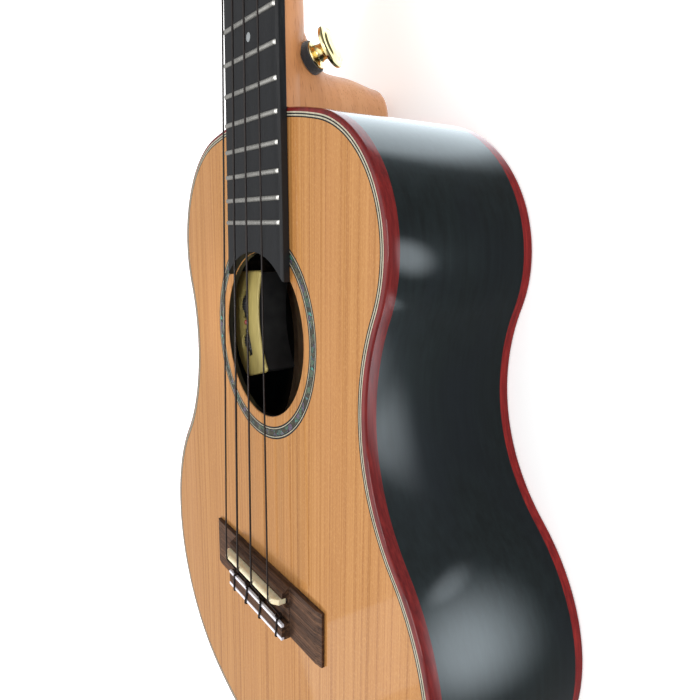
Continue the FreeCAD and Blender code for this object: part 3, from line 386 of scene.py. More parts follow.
def satin_gold():
    """Preamp housing: moulded plastic under a satin olive-gold metallic finish."""
    look = Look("satin_gold_finish", metallic=0.25)
    flakes = look.noise(look.stretch(0.25, 0.25, 0.25), detail=2)
    brushed = look.noise(look.stretch(0.5, 14, 0.5), detail=3)
    look.colour(look.ramp(brushed, (0.3, (0.26, 0.205, 0.06)), (0.7, (0.37, 0.30, 0.105))))
    look.rough(look.fade(flakes, 0.3, 0.7, 0.34, 0.46))
    look.bump(flakes, 0.004)
    return look.material


def felt():
    """Pressed black felt, with a matted surface."""
    look = Look("black_felt", roughness=0.9, sheen_weight=0.4, sheen_roughness=0.5)
    hair = look.noise(look.stretch(0.22, 0.22, 0.22), detail=4, roughness=0.75, distortion=1.5)
    look.colour(look.ramp(hair, (0.3, (0.004, 0.004, 0.005)), (0.8, (0.024, 0.024, 0.027))))
    look.bump(hair, 0.12)
    return look.material


def monofilament():
    """Dark nylon string, smooth, with a warm brown heart."""
    look = Look("nylon_string", roughness=0.34, specular_ior_level=0.3)
    tone = look.noise(look.stretch(8, 60, 8), detail=2)
    look.colour(look.ramp(tone, (0.3, (0.006, 0.0035, 0.003)), (0.7, (0.014, 0.008, 0.007))))
    return look.material


def lamp_red():
    """Small red lamp, unlit."""
    look = Look("red_lamp", roughness=0.15, subsurface_weight=0.3, subsurface_scale=0.0008)
    depth = look.noise(look.stretch(0.8, 0.8, 0.8), detail=1)
    look.colour(look.ramp(depth, (0.3, (0.16, 0.004, 0.006)), (0.7, (0.34, 0.012, 0.014))))
    lacquer(look, 1.0)
    return look.material


CEDAR = cedar()
BLACK_LACQUER = black_lacquer()
# One red binding in two copies: darker on the front edge as painted shade, lighter on the back edge as
# painted light.
FRONT_RED_PAINTED_SHADE = red_binding("front_red_binding_painted_shade", 0.8)
BACK_RED_PAINTED_LIGHT = red_binding("back_red_binding_painted_light", 1.35)
DARK_LINE = inlay("dark_line", (0.003, 0.003, 0.004), (0.008, 0.008, 0.009))
PALE_LINE = inlay("pale_line", (0.34, 0.31, 0.23), (0.46, 0.42, 0.32))
ABALONE = abalone()
MAHOGANY = mahogany()
ROSEWOOD = rosewood()
EBONY = ebony()
BARE_WOOD = bare_wood()
GOLD = metal("polished_gold", (0.74, 0.60, 0.27), (0.88, 0.76, 0.42), 0.12)
STEEL = metal("turned_steel", (0.46, 0.46, 0.47), (0.60, 0.60, 0.60), 0.28)
NICKEL = metal("nickel_silver", (0.60, 0.59, 0.55), (0.74, 0.73, 0.69), 0.30, (0.15, 3.0, 0.5))
BONE = bone()
WHITE_STRIP = plastic("white_strip", (0.66, 0.65, 0.72), (0.80, 0.79, 0.85), 0.22)
PEARL = plastic("grey_pearl", (0.14, 0.15, 0.155), (0.30, 0.32, 0.33), 0.25, grain=0.8)
BLACK_PLASTIC = plastic("black_plastic", (0.008, 0.008, 0.009), (0.018, 0.018, 0.018), 0.5)
SATIN_GOLD = satin_gold()
FELT = felt()
STRING = monofilament()
LAMP = lamp_red()

# The finish of each material slot of the record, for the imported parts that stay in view.
SLOT_LOOKS = {
    "cedar": CEDAR, "side_lacquer": BLACK_LACQUER, "red_binding": FRONT_RED_PAINTED_SHADE, "purfling": PALE_LINE,
    "shell": ABALONE, "inner_wood": BARE_WOOD, "mahogany": MAHOGANY, "ebony": EBONY, "nickel": NICKEL,
    "bone": BONE, "rosewood": ROSEWOOD, "white_strip": WHITE_STRIP, "pickup": STEEL, "gold": GOLD,
    "steel": STEEL, "felt": FELT, "preamp_gold": SATIN_GOLD, "black_plastic": BLACK_PLASTIC,
    "string": STRING,
}


# ---------------------------------------------------------------- mesh kit

def skin(rings, around=True, through=False, lids=False):
    """Vertices and faces over rings of equal length; through joins the last ring to the first."""
    count = len(rings[0])
    rows = len(rings) if through else len(rings) - 1
    columns = count if around else count - 1
    vertices = [point for ring in rings for point in ring]
    faces = []
    for row in range(rows):
        here = row * count
        above = (row + 1) % len(rings) * count
        for column in range(columns):
            beside = (column + 1) % count
            faces.append((here + column, here + beside, above + beside, above + column))
    if lids:
        faces.append(tuple(range(count)))
        faces.append(tuple(range((len(rings) - 1) * count, len(rings) * count)))
    return vertices, faces


def piece(name, parts, look, replaces=(), body=BODY, place=STAND, corner=35):
    """One object made of (vertices, faces) parts, smooth except at corners, riding on a body."""
    vertices = []
    faces = []
    for part_vertices, part_faces in parts:
        base = len(vertices)
        vertices += [place @ Vector(point) for point in part_vertices]
        faces += [tuple(base + index for index in face) for face in part_faces]
    mesh = bpy.data.meshes.new(name)
    mesh.from_pydata(vertices, [], faces)
    shell = bmesh.new()
    shell.from_mesh(mesh)
    bmesh.ops.remove_doubles(shell, verts=shell.verts, dist=1e-6)
    bmesh.ops.recalc_face_normals(shell, faces=shell.faces)
    shell.to_mesh(mesh)
    shell.free()
    mesh.shade_smooth()
    mesh.set_sharp_from_angle(angle=math.radians(corner))
    mesh.materials.append(look)
    made = bpy.data.objects.new(name, mesh)
    bpy.context.scene.collection.objects.link(made)
    return settle(made, replaces, body)


def settle(made, replaces, body):
    """Ride a finished piece on its body, and hide the imported parts that it stands in for."""
    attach(made, body)
    if replaces:
        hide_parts(*replaces)
    return made


def quarter(radius, steps=6):
    """Points of a quarter round as (in from the outer face, down from the top face)."""
    turns = [math.pi / 2 * step / steps for step in range(steps + 1)]
    return [(radius * (1 - math.cos(turn)), radius * (1 - math.sin(turn))) for turn in turns]


def thread(name, points, radius, look, replaces=(), body=BODY, place=STAND):
    """Round cord on a smooth curve drawn by control points."""
    curve = bpy.data.curves.new(name, "CURVE")
    curve.dimensions = "3D"
    curve.resolution_u = 8
    curve.bevel_depth = radius * MM
    curve.bevel_resolution = 5
    curve.use_fill_caps = True
    line = curve.splines.new("NURBS")
    line.points.add(len(points) - 1)
    for control, point in zip(line.points, points):
        control.co = (*(place @ Vector(point)), 1)
    line.order_u = 3
    line.use_endpoint_u = True
    line.use_smooth = True
    curve.materials.append(look)
    made = bpy.data.objects.new(name, curve)
    bpy.context.scene.collection.objects.link(made)
    return settle(made, replaces, body)


# ---------------------------------------------------------------- body outline

def outline_arcs():
    """Half outline from tail to neck as (centre, radius, first angle, last angle, outward sign)."""
    size = ARC_SIZES
    upper_x = UPPER_HALF_WIDTH - size["upper"]
    lower_x = LOWER_HALF_WIDTH - size["lower"]
    top = Vector((0, BODY_TOP - size["top"]))
    tail = Vector((0, size["tail"] - TAIL_REACH))
    upper = Vector((upper_x, top.y + math.sqrt((size["top"] - size["upper"]) ** 2 - upper_x ** 2)))
    lower = Vector((lower_x, tail.y - math.sqrt((size["tail"] - size["lower"]) ** 2 - lower_x ** 2)))
    to_lower = size["lower"] + size["waist"]
    to_upper = size["upper"] + size["waist"]
    across = upper - lower
    along = (to_lower ** 2 - to_upper ** 2 + across.length_squared) / (2 * across.length)
    aside = math.sqrt(to_lower ** 2 - along ** 2)
    unit = across.normalized()
    waist = lower + unit * along + Vector((unit.y, -unit.x)) * aside
    return [
        (tail, size["tail"], -math.pi / 2, heading(tail, lower), 1),
        (lower, size["lower"], heading(tail, lower), heading(lower, waist), 1),
        (waist, size["waist"], heading(waist, lower) % (2 * math.pi), heading(waist, upper), -1),
        (upper, size["upper"], heading(waist, upper) - math.pi, heading(top, upper), 1),
        (top, size["top"], heading(top, upper), math.pi / 2, 1),
    ]


def heading(start, end):
    """Angle of the line from one point to another."""
    return math.atan2(end.y - start.y, end.x - start.x)


def outline_samples(step=2.2):
    """Points on the treble half of the outline with their outward directions, tail to neck."""
    samples = []
    for centre, radius, first, last, sign in outline_arcs():
        count = max(6, round(abs(last - first) * radius / step))
        for index in range(count):
            angle = first + (last - first) * index / count
            direction = Vector((math.cos(angle), math.sin(angle)))
            samples.append((centre + direction * radius, direction * sign))
    samples.append((Vector((0, BODY_TOP)), Vector((0, 1))))
    return samples


TREBLE_HALF = outline_samples()
BASS_HALF = [(Vector((-point.x, point.y)), Vector((-out.x, out.y))) for point, out in TREBLE_HALF]
OUTLINE = TREBLE_HALF + BASS_HALF[-2:0:-1]


def above_back(height):
    """Heights of a plane parallel to the flat back, by distance from the saddle."""
    return lambda y: height / math.cos(BACK_SLOPE) - SADDLE_DEPTH + y * math.tan(BACK_SLOPE)


def rim_ring(inset, height, samples=OUTLINE):
    """Points that follow the outline, moved in by inset, at one height or on a plane."""
    ring = []
    for point, out in samples:
        place = point - out * inset
        z = height(place.y) if callable(height) else height
        ring.append(Vector((place.x, place.y, z)))
    return ring


def hole_ring(radius, height):
    """Circle round the soundhole, each point on the line to the outline point it matches."""
    ring = []
    for point, _ in OUTLINE:
        angle = math.atan2(point.y - HOLE_Y, point.x)
        ring.append(Vector((radius * math.cos(angle), HOLE_Y + radius * math.sin(angle), height)))
    return ring


def soundboard():
    """Plate with a soundhole, a channel for the rosette and a ledge for the purfling; a dark sheet on the
    hole's wall paints its shade.
    """
    lip = [hole_ring(HOLE_RADIUS + inward, -down) for inward, down in quarter(0.5)]
    inner = RIM + PURFLING_WIDTH
    rings = lip + [
        hole_ring(ROSETTE_INNER, 0), hole_ring(ROSETTE_INNER, -INLAY_DEPTH),
        hole_ring(ROSETTE_OUTER, -INLAY_DEPTH), hole_ring(ROSETTE_OUTER, 0),
        rim_ring(inner, 0), rim_ring(inner, -INLAY_DEPTH),
        rim_ring(RIM, -INLAY_DEPTH), rim_ring(RIM, -TOP_THICKNESS),
        hole_ring(HOLE_RADIUS, -TOP_THICKNESS),
    ]
    piece("soundboard_plate", [skin(rings, through=True)], CEDAR, ["soundboard"])
    # Painted shade: a dark sheet over the soundhole's wall, in the dark line's colour.
    wall = [hole_ring(radius, height) for radius, height in (
        (HOLE_RADIUS + 0.1, -0.45), (HOLE_RADIUS - 0.06, -0.5),
        (HOLE_RADIUS - 0.06, -TOP_THICKNESS), (HOLE_RADIUS + 0.1, -TOP_THICKNESS))]
    piece("soundhole_painted_shade", [skin(wall, through=True)], DARK_LINE, [])


def flat_band(ring, first, second):
    """Inlay between two sizes of a ring function, as thick as the inlay is deep."""
    rings = [ring(first, 0), ring(second, 0), ring(second, -INLAY_DEPTH), ring(first, -INLAY_DEPTH)]
    return skin(rings, through=True)


def purfling():
    """Four lines beside the binding: pale, dark, pale, dark."""
    width = PURFLING_WIDTH / 4
    lines = [flat_band(rim_ring, RIM + width * index, RIM + width * (index + 1)) for index in range(4)]
    piece("purfling_pale", lines[0::2], PALE_LINE, ["purfling_front"])
    piece("purfling_dark", lines[1::2], DARK_LINE)


def rosette():
    """Ring of shell between two bands of dark, pale and dark lines."""
    steps = (0.0, 0.70, 1.05, 1.50)
    edges = [ROSETTE_INNER + step for step in steps]
    edges += [ROSETTE_OUTER - step for step in reversed(steps)]
    bands = [flat_band(hole_ring, low, high) for low, high in zip(edges, edges[1:])]
    piece("rosette_shell", [bands[3]], ABALONE, ["rosette"])
    piece("rosette_pale", [bands[1], bands[5]], PALE_LINE)
    piece("rosette_dark", [bands[0], bands[2], bands[4], bands[6]], DARK_LINE)


def bindings():
    """Rounded red strips along the front and back edges of the body."""
    front = [(0, -BINDING_DEPTH)] + [(inward, -down) for inward, down in quarter(BINDING_ROUND)]
    front += [(RIM, 0), (RIM, -BINDING_DEPTH)]
    rings = [rim_ring(inset, height) for inset, height in front]
    piece("front_binding", [skin(rings, through=True)], FRONT_RED_PAINTED_SHADE, ["binding_front"])
    back = [(0, BINDING_DEPTH)] + [(inward, down) for inward, down in quarter(BINDING_ROUND)]
    back += [(RIM, 0), (RIM, BINDING_DEPTH)]
    rings = [rim_ring(inset, above_back(height)) for inset, height in back]
    piece("back_binding", [skin(rings, through=True)], BACK_RED_PAINTED_LIGHT, ["binding_back"])


def sides():
    """The two bent sides, from the tail graft to the neck."""
    for name, half in (("side_treble", TREBLE_HALF), ("side_bass", BASS_HALF)):
        run = [(point, out) for point, out in half if abs(point.x) >= GRAFT_HALF or point.y > 0]
        profile = [(0, -BINDING_DEPTH), (0, above_back(BINDING_DEPTH)),
                   (RIM, above_back(BINDING_DEPTH)), (RIM, -BINDING_DEPTH)]
        rows = [rim_ring(inset, height, run) for inset, height in profile]
        columns = [list(column) for column in zip(*rows)]
        piece("lacquered_" + name, [skin(columns, lids=True)], BLACK_LACQUER, [name])


def back():
    """Flat back plate inside its binding."""
    rings = [rim_ring(RIM, above_back(0)), rim_ring(RIM, above_back(BACK_THICKNESS))]
    piece("back_plate", [skin(rings, lids=True)], BLACK_LACQUER, ["back"])


# ---------------------------------------------------------------- turned and softened shapes

def soft_line(points, reach, closed=False, steps=4):
    """The same line with its corners rounded off within reach of each."""
    points = [Vector(point) for point in points]
    count = len(points)
    softened = []
    for index, corner in enumerate(points):
        if not closed and index in (0, count - 1):
            softened.append(corner)
            continue
        before = points[index - 1] - corner
        after = points[(index + 1) % count] - corner
        start = corner + before.normalized() * min(reach, before.length * 0.45)
        end = corner + after.normalized() * min(reach, after.length * 0.45)
        for step in range(steps + 1):
            share = step / steps
            softened.append(start * (1 - share) ** 2 + corner * (2 * share * (1 - share)) + end * share ** 2)
    return softened


def turned(profile, start=(0, 0, 0), axis=UP, steps=72):
    """Shape turned about an axis from (radius, height) points; a closed profile ends where it starts."""
    frame_turn = axis.normalized().to_track_quat("Z", "Y").to_matrix().to_4x4()
    place = Matrix.Translation(Vector(start)) @ frame_turn
    turns = [2 * math.pi * step / steps for step in range(steps)]
    rings = [[place @ Vector((radius * math.cos(turn), radius * math.sin(turn), height)) for turn in turns]
             for radius, height in profile]
    return skin(rings)


def carve(made, cutters):
    """Cut other objects out of a piece, for good."""
    for block in cutters:
        cut = made.modifiers.new("cut", "BOOLEAN")
        cut.operation = "DIFFERENCE"
        cut.object = block
        cut.solver = "EXACT"
    bpy.context.view_layer.update()
    solid = made.evaluated_get(bpy.context.evaluated_depsgraph_get())
    mesh = bpy.data.meshes.new_from_object(solid)
    made.modifiers.clear()
    made.data = mesh
    for block in cutters:
        bpy.data.objects.remove(block)
    mesh.shade_smooth()
    mesh.set_sharp_from_angle(angle=math.radians(35))


def cutter(parts):
    """A bare mesh object in the instrument's place, for cutting."""
    made = piece("cutter", parts, BARE_WOOD)
    made.parent = None
    return made


def soften(made, width, segments=3, angle=30):
    """Round the edges of a piece with sharp corners."""
    weld = made.modifiers.new("weld", "WELD")
    weld.merge_threshold = 1e-6
    bevel = made.modifiers.new("rounded_edges", "BEVEL")
    bevel.width = width * MM
    bevel.segments = segments
    bevel.limit_method = "ANGLE"
    bevel.angle_limit = math.radians(angle)
    bevel.use_clamp_overlap = False
    even = made.modifiers.new("even_light", "WEIGHTED_NORMAL")
    even.keep_sharp = False
    even.weight = 80


# ---------------------------------------------------------------- fretboard and strings

BOARD_HALF_JOINT = 23.65
BOARD_TAPER = 0.020
BOARD_THICKNESS = 3.6
FRET_COUNT = 18
FRET_HALF_WIDTH = 1.0
FRET_HEIGHT = 0.92
FRET_INSET = 0.9
FRET_SUNK = 0.05
# A fret's filed end: distance in from its tip, and the share of its full height there.
FRET_END = ((0.0, 0.04), (0.22, 0.52), (0.42, 0.85), (0.62, 0.97), (0.85, 1.0))
STRING_RADII = (0.37, 0.47, 0.42, 0.36)
STRING_PLACES = (-20.2, -7.7, 6.0, 21.6)
NUT_PLACES = (-10.4, -3.6, 3.2, 10.8)
STRING_HEIGHT_NUT = 5.02
SADDLE_MIDDLE = -1.4
SADDLE_TOP = 9.7
BRIDGE_REAR = -19.0
TIE_EDGE = -11.6
TIE_TOP = 6.35
TIE_HOLE_HEIGHT = 3.9
# How far each string's loop leans across the tie block.
TIE_LEANS = (0.4, 2.1, 1.8, 1.2)
COIL_MIDDLE = 5.2
COIL_TURNS = 2.6


def board_half(y):
    """Half width of the fretboard at a distance from the saddle."""
    return BOARD_HALF_JOINT - BOARD_TAPER * (y - BODY_END)


def frets():
    """Domed wires with filed ends."""
    parts = []
    for number in range(1, FRET_COUNT + 1):
        y = SCALE_LENGTH * 2 ** (-number / 12)
        half = board_half(y) - FRET_INSET
        tip = [(half - inward, rise) for inward, rise in FRET_END]
        stations = tip + [(-x, rise) for x, rise in reversed(tip)]
        loops = []
        for x, rise in stations:
            loop = []
            for step in range(13):
                turn = math.pi * step / 12
                wide = FRET_HALF_WIDTH * (0.8 + 0.2 * rise) * math.cos(turn)
                crown = FRET_HEIGHT * rise * math.sin(turn) ** 0.8
                loop.append((x, y + wide, BOARD_THICKNESS - FRET_SUNK + crown))
            loops.append(loop)
        parts.append(skin(loops, lids=True))
    piece("fret_wires", parts, NICKEL, ["frets"], corner=50)


def string_x(index, y):
    """Sideways place of a string at a distance from the saddle."""
    at_saddle = STRING_PLACES[index]
    return at_saddle + (NUT_PLACES[index] - at_saddle) * y / SCALE_LENGTH


def post_places():
    """The tuning posts on the headstock's face, in string order, as (side, x, y)."""
    half = POST_ACROSS / 2
    far = POST_FIRST + POST_PITCH
    return [(-1, -half, POST_FIRST), (-1, -half, far), (1, half, far), (1, half, POST_FIRST)]


def string_route(index):
    """Control points of a string: its knot, the loop over the tie block, the saddle, the nut, the post."""
    radius = STRING_RADII[index]
    x = string_x(index, 0)
    lean = TIE_LEANS[index]
    over = TIE_TOP + radius + 0.02
    behind = BRIDGE_REAR - radius - 0.1
    ahead = TIE_EDGE + radius + 0.1
    crown = SADDLE_TOP + radius
    nut_y = SCALE_LENGTH
    nut_x = string_x(index, nut_y)
    side, post_x, post_y = post_places()[index]
    touch = post_x - side * (POST_RADIUS + radius)
    knot = [
        (x + 1.7, ahead + 0.2, 7.1), (x + 1.5, ahead + 0.7, 5.4), (x + 0.5, ahead + 1.5, 3.9),
        (x - 0.9, ahead + 1.8, 4.3), (x - 1.0, ahead + 1.7, 5.6), (x, ahead + 1.5, 6.6),
        (x + 1.0, ahead + 0.9, 6.3),
    ]
    loop = [
        (x + lean, ahead, over - 0.1), (x + lean, ahead - 0.5, over), (x + lean * 0.8, TIE_EDGE - 1.2, over),
        (x + lean * 0.5, (TIE_EDGE + BRIDGE_REAR) / 2, over - 0.1),
        (x + lean * 0.15, BRIDGE_REAR + 1.2, over), (x, behind + 0.5, over), (x, behind, over - 0.3),
        (x, behind, 5.6), (x, behind, TIE_HOLE_HEIGHT + 0.5), (x, behind + 0.4, TIE_HOLE_HEIGHT),
        (x, BRIDGE_REAR + 2, TIE_HOLE_HEIGHT), (x, TIE_EDGE - 1.5, TIE_HOLE_HEIGHT),
        (x, TIE_EDGE + 0.4, TIE_HOLE_HEIGHT),
    ]
    speaking = [
        (x, TIE_EDGE + 1.6, TIE_HOLE_HEIGHT + 0.7), (x, SADDLE_MIDDLE - 2.2, crown - 1.2),
        (x, SADDLE_MIDDLE - 0.6, crown), (x, SADDLE_MIDDLE + 1.4, crown),
        (x, SADDLE_MIDDLE + 6.0, crown - 0.05), (string_x(index, 100), 100, crown - 1.17),
        (string_x(index, 300), 300, crown - 3.5), (nut_x, nut_y - 4, STRING_HEIGHT_NUT + 0.07),
        (nut_x, nut_y + 0.8, STRING_HEIGHT_NUT + 0.02), (nut_x, nut_y + 3.2, STRING_HEIGHT_NUT),
    ]
    last = HEAD @ Vector((touch, post_y - 2.6, COIL_MIDDLE))
    leave = Vector(speaking[-1])
    run = [leave.lerp(last, share) for share in (0.08, 0.5, 0.85)]
    return knot + loop + speaking + run + [last]


def strings():
    """The four strings, each with its turns on its own post."""
    for index, radius in enumerate(STRING_RADII):
        name = "string_%d" % (index + 1)
        thread("nylon_" + name, string_route(index), radius, STRING, [name])
        coil(index, radius)


def coil(index, radius):
    """Turns of the string on its post."""
    side, post_x, post_y = post_places()[index]
    around = POST_RADIUS + radius
    points = []
    per_turn = 16
    for step in range(int(COIL_TURNS * per_turn) + 1):
        turn = math.pi * (0 if side < 0 else 1) + side * -2 * math.pi * step / per_turn
        height = COIL_MIDDLE - 1.0 + 2 * radius * 1.06 * step / per_turn
        points.append((post_x + around * math.cos(turn), post_y + around * math.sin(turn), height))
    name = "string_%d_coil" % (index + 1)
    body = "tuner_%d_spindle" % (index + 1)
    thread("turns_%d" % (index + 1), points, radius, STRING, [name], body, STAND @ HEAD)


# ---------------------------------------------------------------- strap button

STRAP_START = Vector((16.8, 213.3, -13.0))
STRAP_AXIS = Vector((0.80, 0.36, -0.48))
WASHER_THICKNESS = 3.4
WASHER_RADIUS = 6.0
SCREW_BORE = 1.7
SCREW_BORE_DEPTH = 7.0


def strap_button():
    """Felt washer, and a polished button with a waist and a stepped, domed cap."""
    washer = soft_line([(SCREW_BORE, 0.05), (WASHER_RADIUS, 0.0), (WASHER_RADIUS, WASHER_THICKNESS),
                        (SCREW_BORE, WASHER_THICKNESS)], 0.6)
    washer.append(washer[0])
    piece("felt_washer", [turned(washer, STRAP_START, STRAP_AXIS)], FELT, ["strap_button_washer"])
    outline = [(SCREW_BORE, SCREW_BORE_DEPTH), (SCREW_BORE, 0), (5.2, 0), (5.2, 0.8), (4.2, 1.1), (3.3, 1.9),
               (3.0, 3.0), (3.1, 4.2), (3.9, 5.2), (5.6, 5.8), (7.8, 6.2), (7.8, 7.3), (7.2, 7.9),
               (6.4, 8.1), (5.9, 7.9), (5.6, 8.2), (5.0, 8.7), (2.6, 8.95), (0, 9.0)]
    outline = [(0, SCREW_BORE_DEPTH)] + soft_line(outline, 0.3)
    start = STRAP_START + STRAP_AXIS * WASHER_THICKNESS
    piece("strap_pin", [turned(outline, start, STRAP_AXIS)], GOLD, ["strap_button"], corner=60)


# ---------------------------------------------------------------- preamp

PREAMP_FACE = -8.0
PREAMP_DEPTH = 15.0
PREAMP_FACE_DEPTH = 1.3
PREAMP_FACE_ROUND = 0.9
PREAMP_CORNER = 3.2
# The crescent's outer curve and its bite: centre, radius, lowest and highest y.
PREAMP_OUTER = (-11.9, 109.1, 34.8, 81.1, 130.7)
PREAMP_BITE = (22.6, 113.4, 42.5, 87.4, 132.6)
ROLLER_RADIUS = 6.5
ROLLER_HALF = 2.1
ROLLER_PROUD = 1.2
ROLLER_CENTRE = Vector((5.0, 111.0, 0.0))
ROLLER_ORBIT = 37.5
ROLLER_TURNS = {"volume": -7.0, "tone": 20.0}
ROLLER_RIBS = 30
SLOT_HALF_WIDTH = 2.7
SLOT_HALF_LENGTH = 6.6
SLOT_CORNER = 1.1
# A slot's lowest and highest points, from the roller's centre; it is cut right through the face.
SLOT_HEIGHTS = (-7.2, 9)
# The ball that cuts a finger dimple: its radius, and its centre's way out from the roller and above the face.
DIMPLE_RADIUS = 5.2
DIMPLE_OUT = 3.4
DIMPLE_RISE = 3.6
LAMP_PLACE = Vector((-32.1, 107.3, PREAMP_FACE))


def arc_points(centre_x, centre_y, radius, low, high, steps=28):
    """Left-hand arc of a circle between two heights in plan."""
    first = math.asin((low - centre_y) / radius)
    last = math.asin((high - centre_y) / radius)
    points = []
    for step in range(steps + 1):
        angle = first + (last - first) * step / steps
        points.append(Vector((centre_x - radius * math.cos(angle), centre_y + radius * math.sin(angle))))
    return points


def shrink(loop, distance):
    """A closed plan moved inwards by a small distance."""
    area = sum(a.x * b.y - b.x * a.y for a, b in zip(loop, loop[1:] + loop[:1]))
    turn = 1 if area > 0 else -1
    moved = []
    for before, here, after in zip(loop[-1:] + loop[:-1], loop, loop[1:] + loop[:1]):
        along = (after - before).normalized()
        moved.append(here + Vector((-along.y, along.x)) * distance * turn)
    return moved


def stack(loop, profile):
    """Rings of a plan at each (inward distance, height) of a profile."""
    return [[(p.x, p.y, height) for p in shrink(loop, inward)] for inward, height in profile]


def roller_place(turn):
    """Centre of a roller on its axle, and the direction of the axle."""
    angle = math.radians(180 + turn)
    out = Vector((math.cos(angle), math.sin(angle), 0))
    centre = ROLLER_CENTRE + out * ROLLER_ORBIT
    centre.z = PREAMP_FACE - ROLLER_RADIUS + ROLLER_PROUD
    return centre, out


def preamp():
    """Crescent housing with a bright rounded rim, two roller slots with finger dimples and a lamp."""
    outer = arc_points(*PREAMP_OUTER, steps=9)
    inner = arc_points(*PREAMP_BITE, steps=9)
    loop = soft_line(outer + inner[::-1], PREAMP_CORNER, closed=True)
    seam = PREAMP_FACE - PREAMP_FACE_DEPTH
    foot = PREAMP_FACE - PREAMP_DEPTH
    face = [(0.5, seam), (0.0, seam + 0.4)]
    face += [(inward, PREAMP_FACE - down) for inward, down in quarter(PREAMP_FACE_ROUND)]
    shell = piece("preamp_face", [skin(stack(loop, face), lids=True)], SATIN_GOLD, ["preamp_housing"])
    below = [(0.9, foot), (0.7, foot + 0.6), (0.7, seam + 0.2)]
    base = piece("preamp_base", [skin(stack(loop, below), lids=True)], BLACK_PLASTIC, [])
    wide = SLOT_HALF_WIDTH
    long = SLOT_HALF_LENGTH
    plan = soft_line([(-wide, -long), (wide, -long), (wide, long), (-wide, long)], SLOT_CORNER, closed=True)
    cutters = []
    base_cutters = []
    for turn in ROLLER_TURNS.values():
        centre, out = roller_place(turn)
        across = Vector((-out.y, out.x, 0))
        slot = [[centre + out * p.x + across * p.y + UP * height for p in plan] for height in SLOT_HEIGHTS]
        cutters.append(cutter([skin(slot, lids=True)]))
        base_cutters.append(cutter([skin(slot, lids=True)]))
        turns = [math.pi * step / 24 for step in range(25)]
        dimple = [(DIMPLE_RADIUS * math.sin(turn), -DIMPLE_RADIUS * math.cos(turn)) for turn in turns]
        place = centre + out * DIMPLE_OUT
        place.z = PREAMP_FACE + DIMPLE_RISE
        cutters.append(cutter([turned(dimple, place, UP, 48)]))
    carve(shell, cutters)
    carve(base, base_cutters)
    for name, turn in ROLLER_TURNS.items():
        roller(name, turn)
    lamp = [(1.25, 0.02), (1.2, 0.35), (0.95, 0.7), (0.55, 0.92), (0, 1.0)]
    piece("red_lamp", [turned(lamp, LAMP_PLACE - UP * 0.3, UP, 32)], LAMP)


def roller(name, turn):
    """Thumb roller with ribs round its rim."""
    centre, out = roller_place(turn)
    profile = [(0, -ROLLER_HALF), (5.4, -ROLLER_HALF), (6.0, -ROLLER_HALF + 0.3), (6.5, -ROLLER_HALF + 0.7),
               (6.5, ROLLER_HALF - 0.7), (6.0, ROLLER_HALF - 0.3), (5.4, ROLLER_HALF), (0, ROLLER_HALF)]
    place = Matrix.Translation(centre) @ out.to_track_quat("Z", "Y").to_matrix().to_4x4()
    count = ROLLER_RIBS * 6
    rings = []
    for radius, height in profile:
        ring = []
        for step in range(count):
            angle = 2 * math.pi * step / count
            groove = 0.45 * max(0.0, math.cos(ROLLER_RIBS * angle)) if radius > 5.5 else 0.0
            reach = radius - groove
            ring.append(place @ Vector((reach * math.cos(angle), reach * math.sin(angle), height)))
        rings.append(ring)
    piece(name + "_thumb_roller", [skin(rings)], BLACK_PLASTIC, [name + "_roller"],
          name + "_wheel")


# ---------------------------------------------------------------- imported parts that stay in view

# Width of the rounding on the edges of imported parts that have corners.
EDGE_WIDTHS = {"bridge": 0.35, "tie_block_strips": 0.25, "saddle": 0.3, "nut": 0.25, "fretboard": 0.25,
               "headstock_overlay": 0.3, "jack_nut": 0.3, "end_graft": 0.05, "output_jack": 0.15,
               "tuner_bushings": 0.15}
for number in range(1, 5):
    EDGE_WIDTHS["tuner_%d_housing" % number] = 0.25


def dress_packed_parts():
    """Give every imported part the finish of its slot, and soften the edges of those with corners."""
    slots = {row["node"]: row["material_slot"] for row in frame["record"]["subparts"]}
    for node, made in frame["nodes"].items():
        made.data.materials.clear()
        made.data.materials.append(SLOT_LOOKS[slots[node]])
    frame["nodes"]["position_dots"].data.materials[0] = PEARL
    for node, width in EDGE_WIDTHS.items():
        soften(frame["nodes"][node], width)


# ---------------------------------------------------------------- camera, floor and light

CAMERA_PLACE = Vector((237.06, 150.26, 118.16))
CAMERA_RIGHT = Vector((0.56587, 0.00936, -0.82444))
CAMERA_UP = Vector((-0.15910, 0.98238, -0.09804))
CAMERA_LENS = 32.52


def camera():
    """Close, above the treble side, with the strings upright in the picture."""
    data = bpy.data.cameras.new("camera")
    data.lens = CAMERA_LENS
    data.sensor_width = 36.0
    data.clip_start = 0.01
    right = CAMERA_RIGHT.normalized()
    back = right.cross(CAMERA_UP).normalized()
    up = back.cross(right)
    turn = Matrix((right, up, back)).transposed()
    made = bpy.data.objects.new("camera", data)
    aim = STAND.to_3x3().normalized() @ turn
    made.matrix_world = Matrix.Translation(STAND @ CAMERA_PLACE) @ aim.to_4x4()
    bpy.context.scene.collection.objects.link(made)
    bpy.context.scene.camera = made


FLOOR_REACH = 150.0
# Radiance of the dome overhead, at the horizon, and below it where gloss sees past the floor.
ZENITH = 1.9
HORIZON = 0.35
NADIR = 0.14
GLOW_COLOUR = (0.84, 0.94, 1.0, 1.0)
GLOW_LIFT = 0.2


def flat_square(name, material, reach=1.0):
    """Level square that reaches that far to each side of its centre, part of the stage."""
    mesh = bpy.data.meshes.new(name)
    corners = ((-reach, -reach), (reach, -reach), (reach, reach), (-reach, reach))
    mesh.from_pydata([(x, y, 0) for x, y in corners], [], [(0, 1, 2, 3)])
    mesh.materials.append(material)
    made = bpy.data.objects.new(name, mesh)
    bpy.context.scene.collection.objects.link(made)
    return made


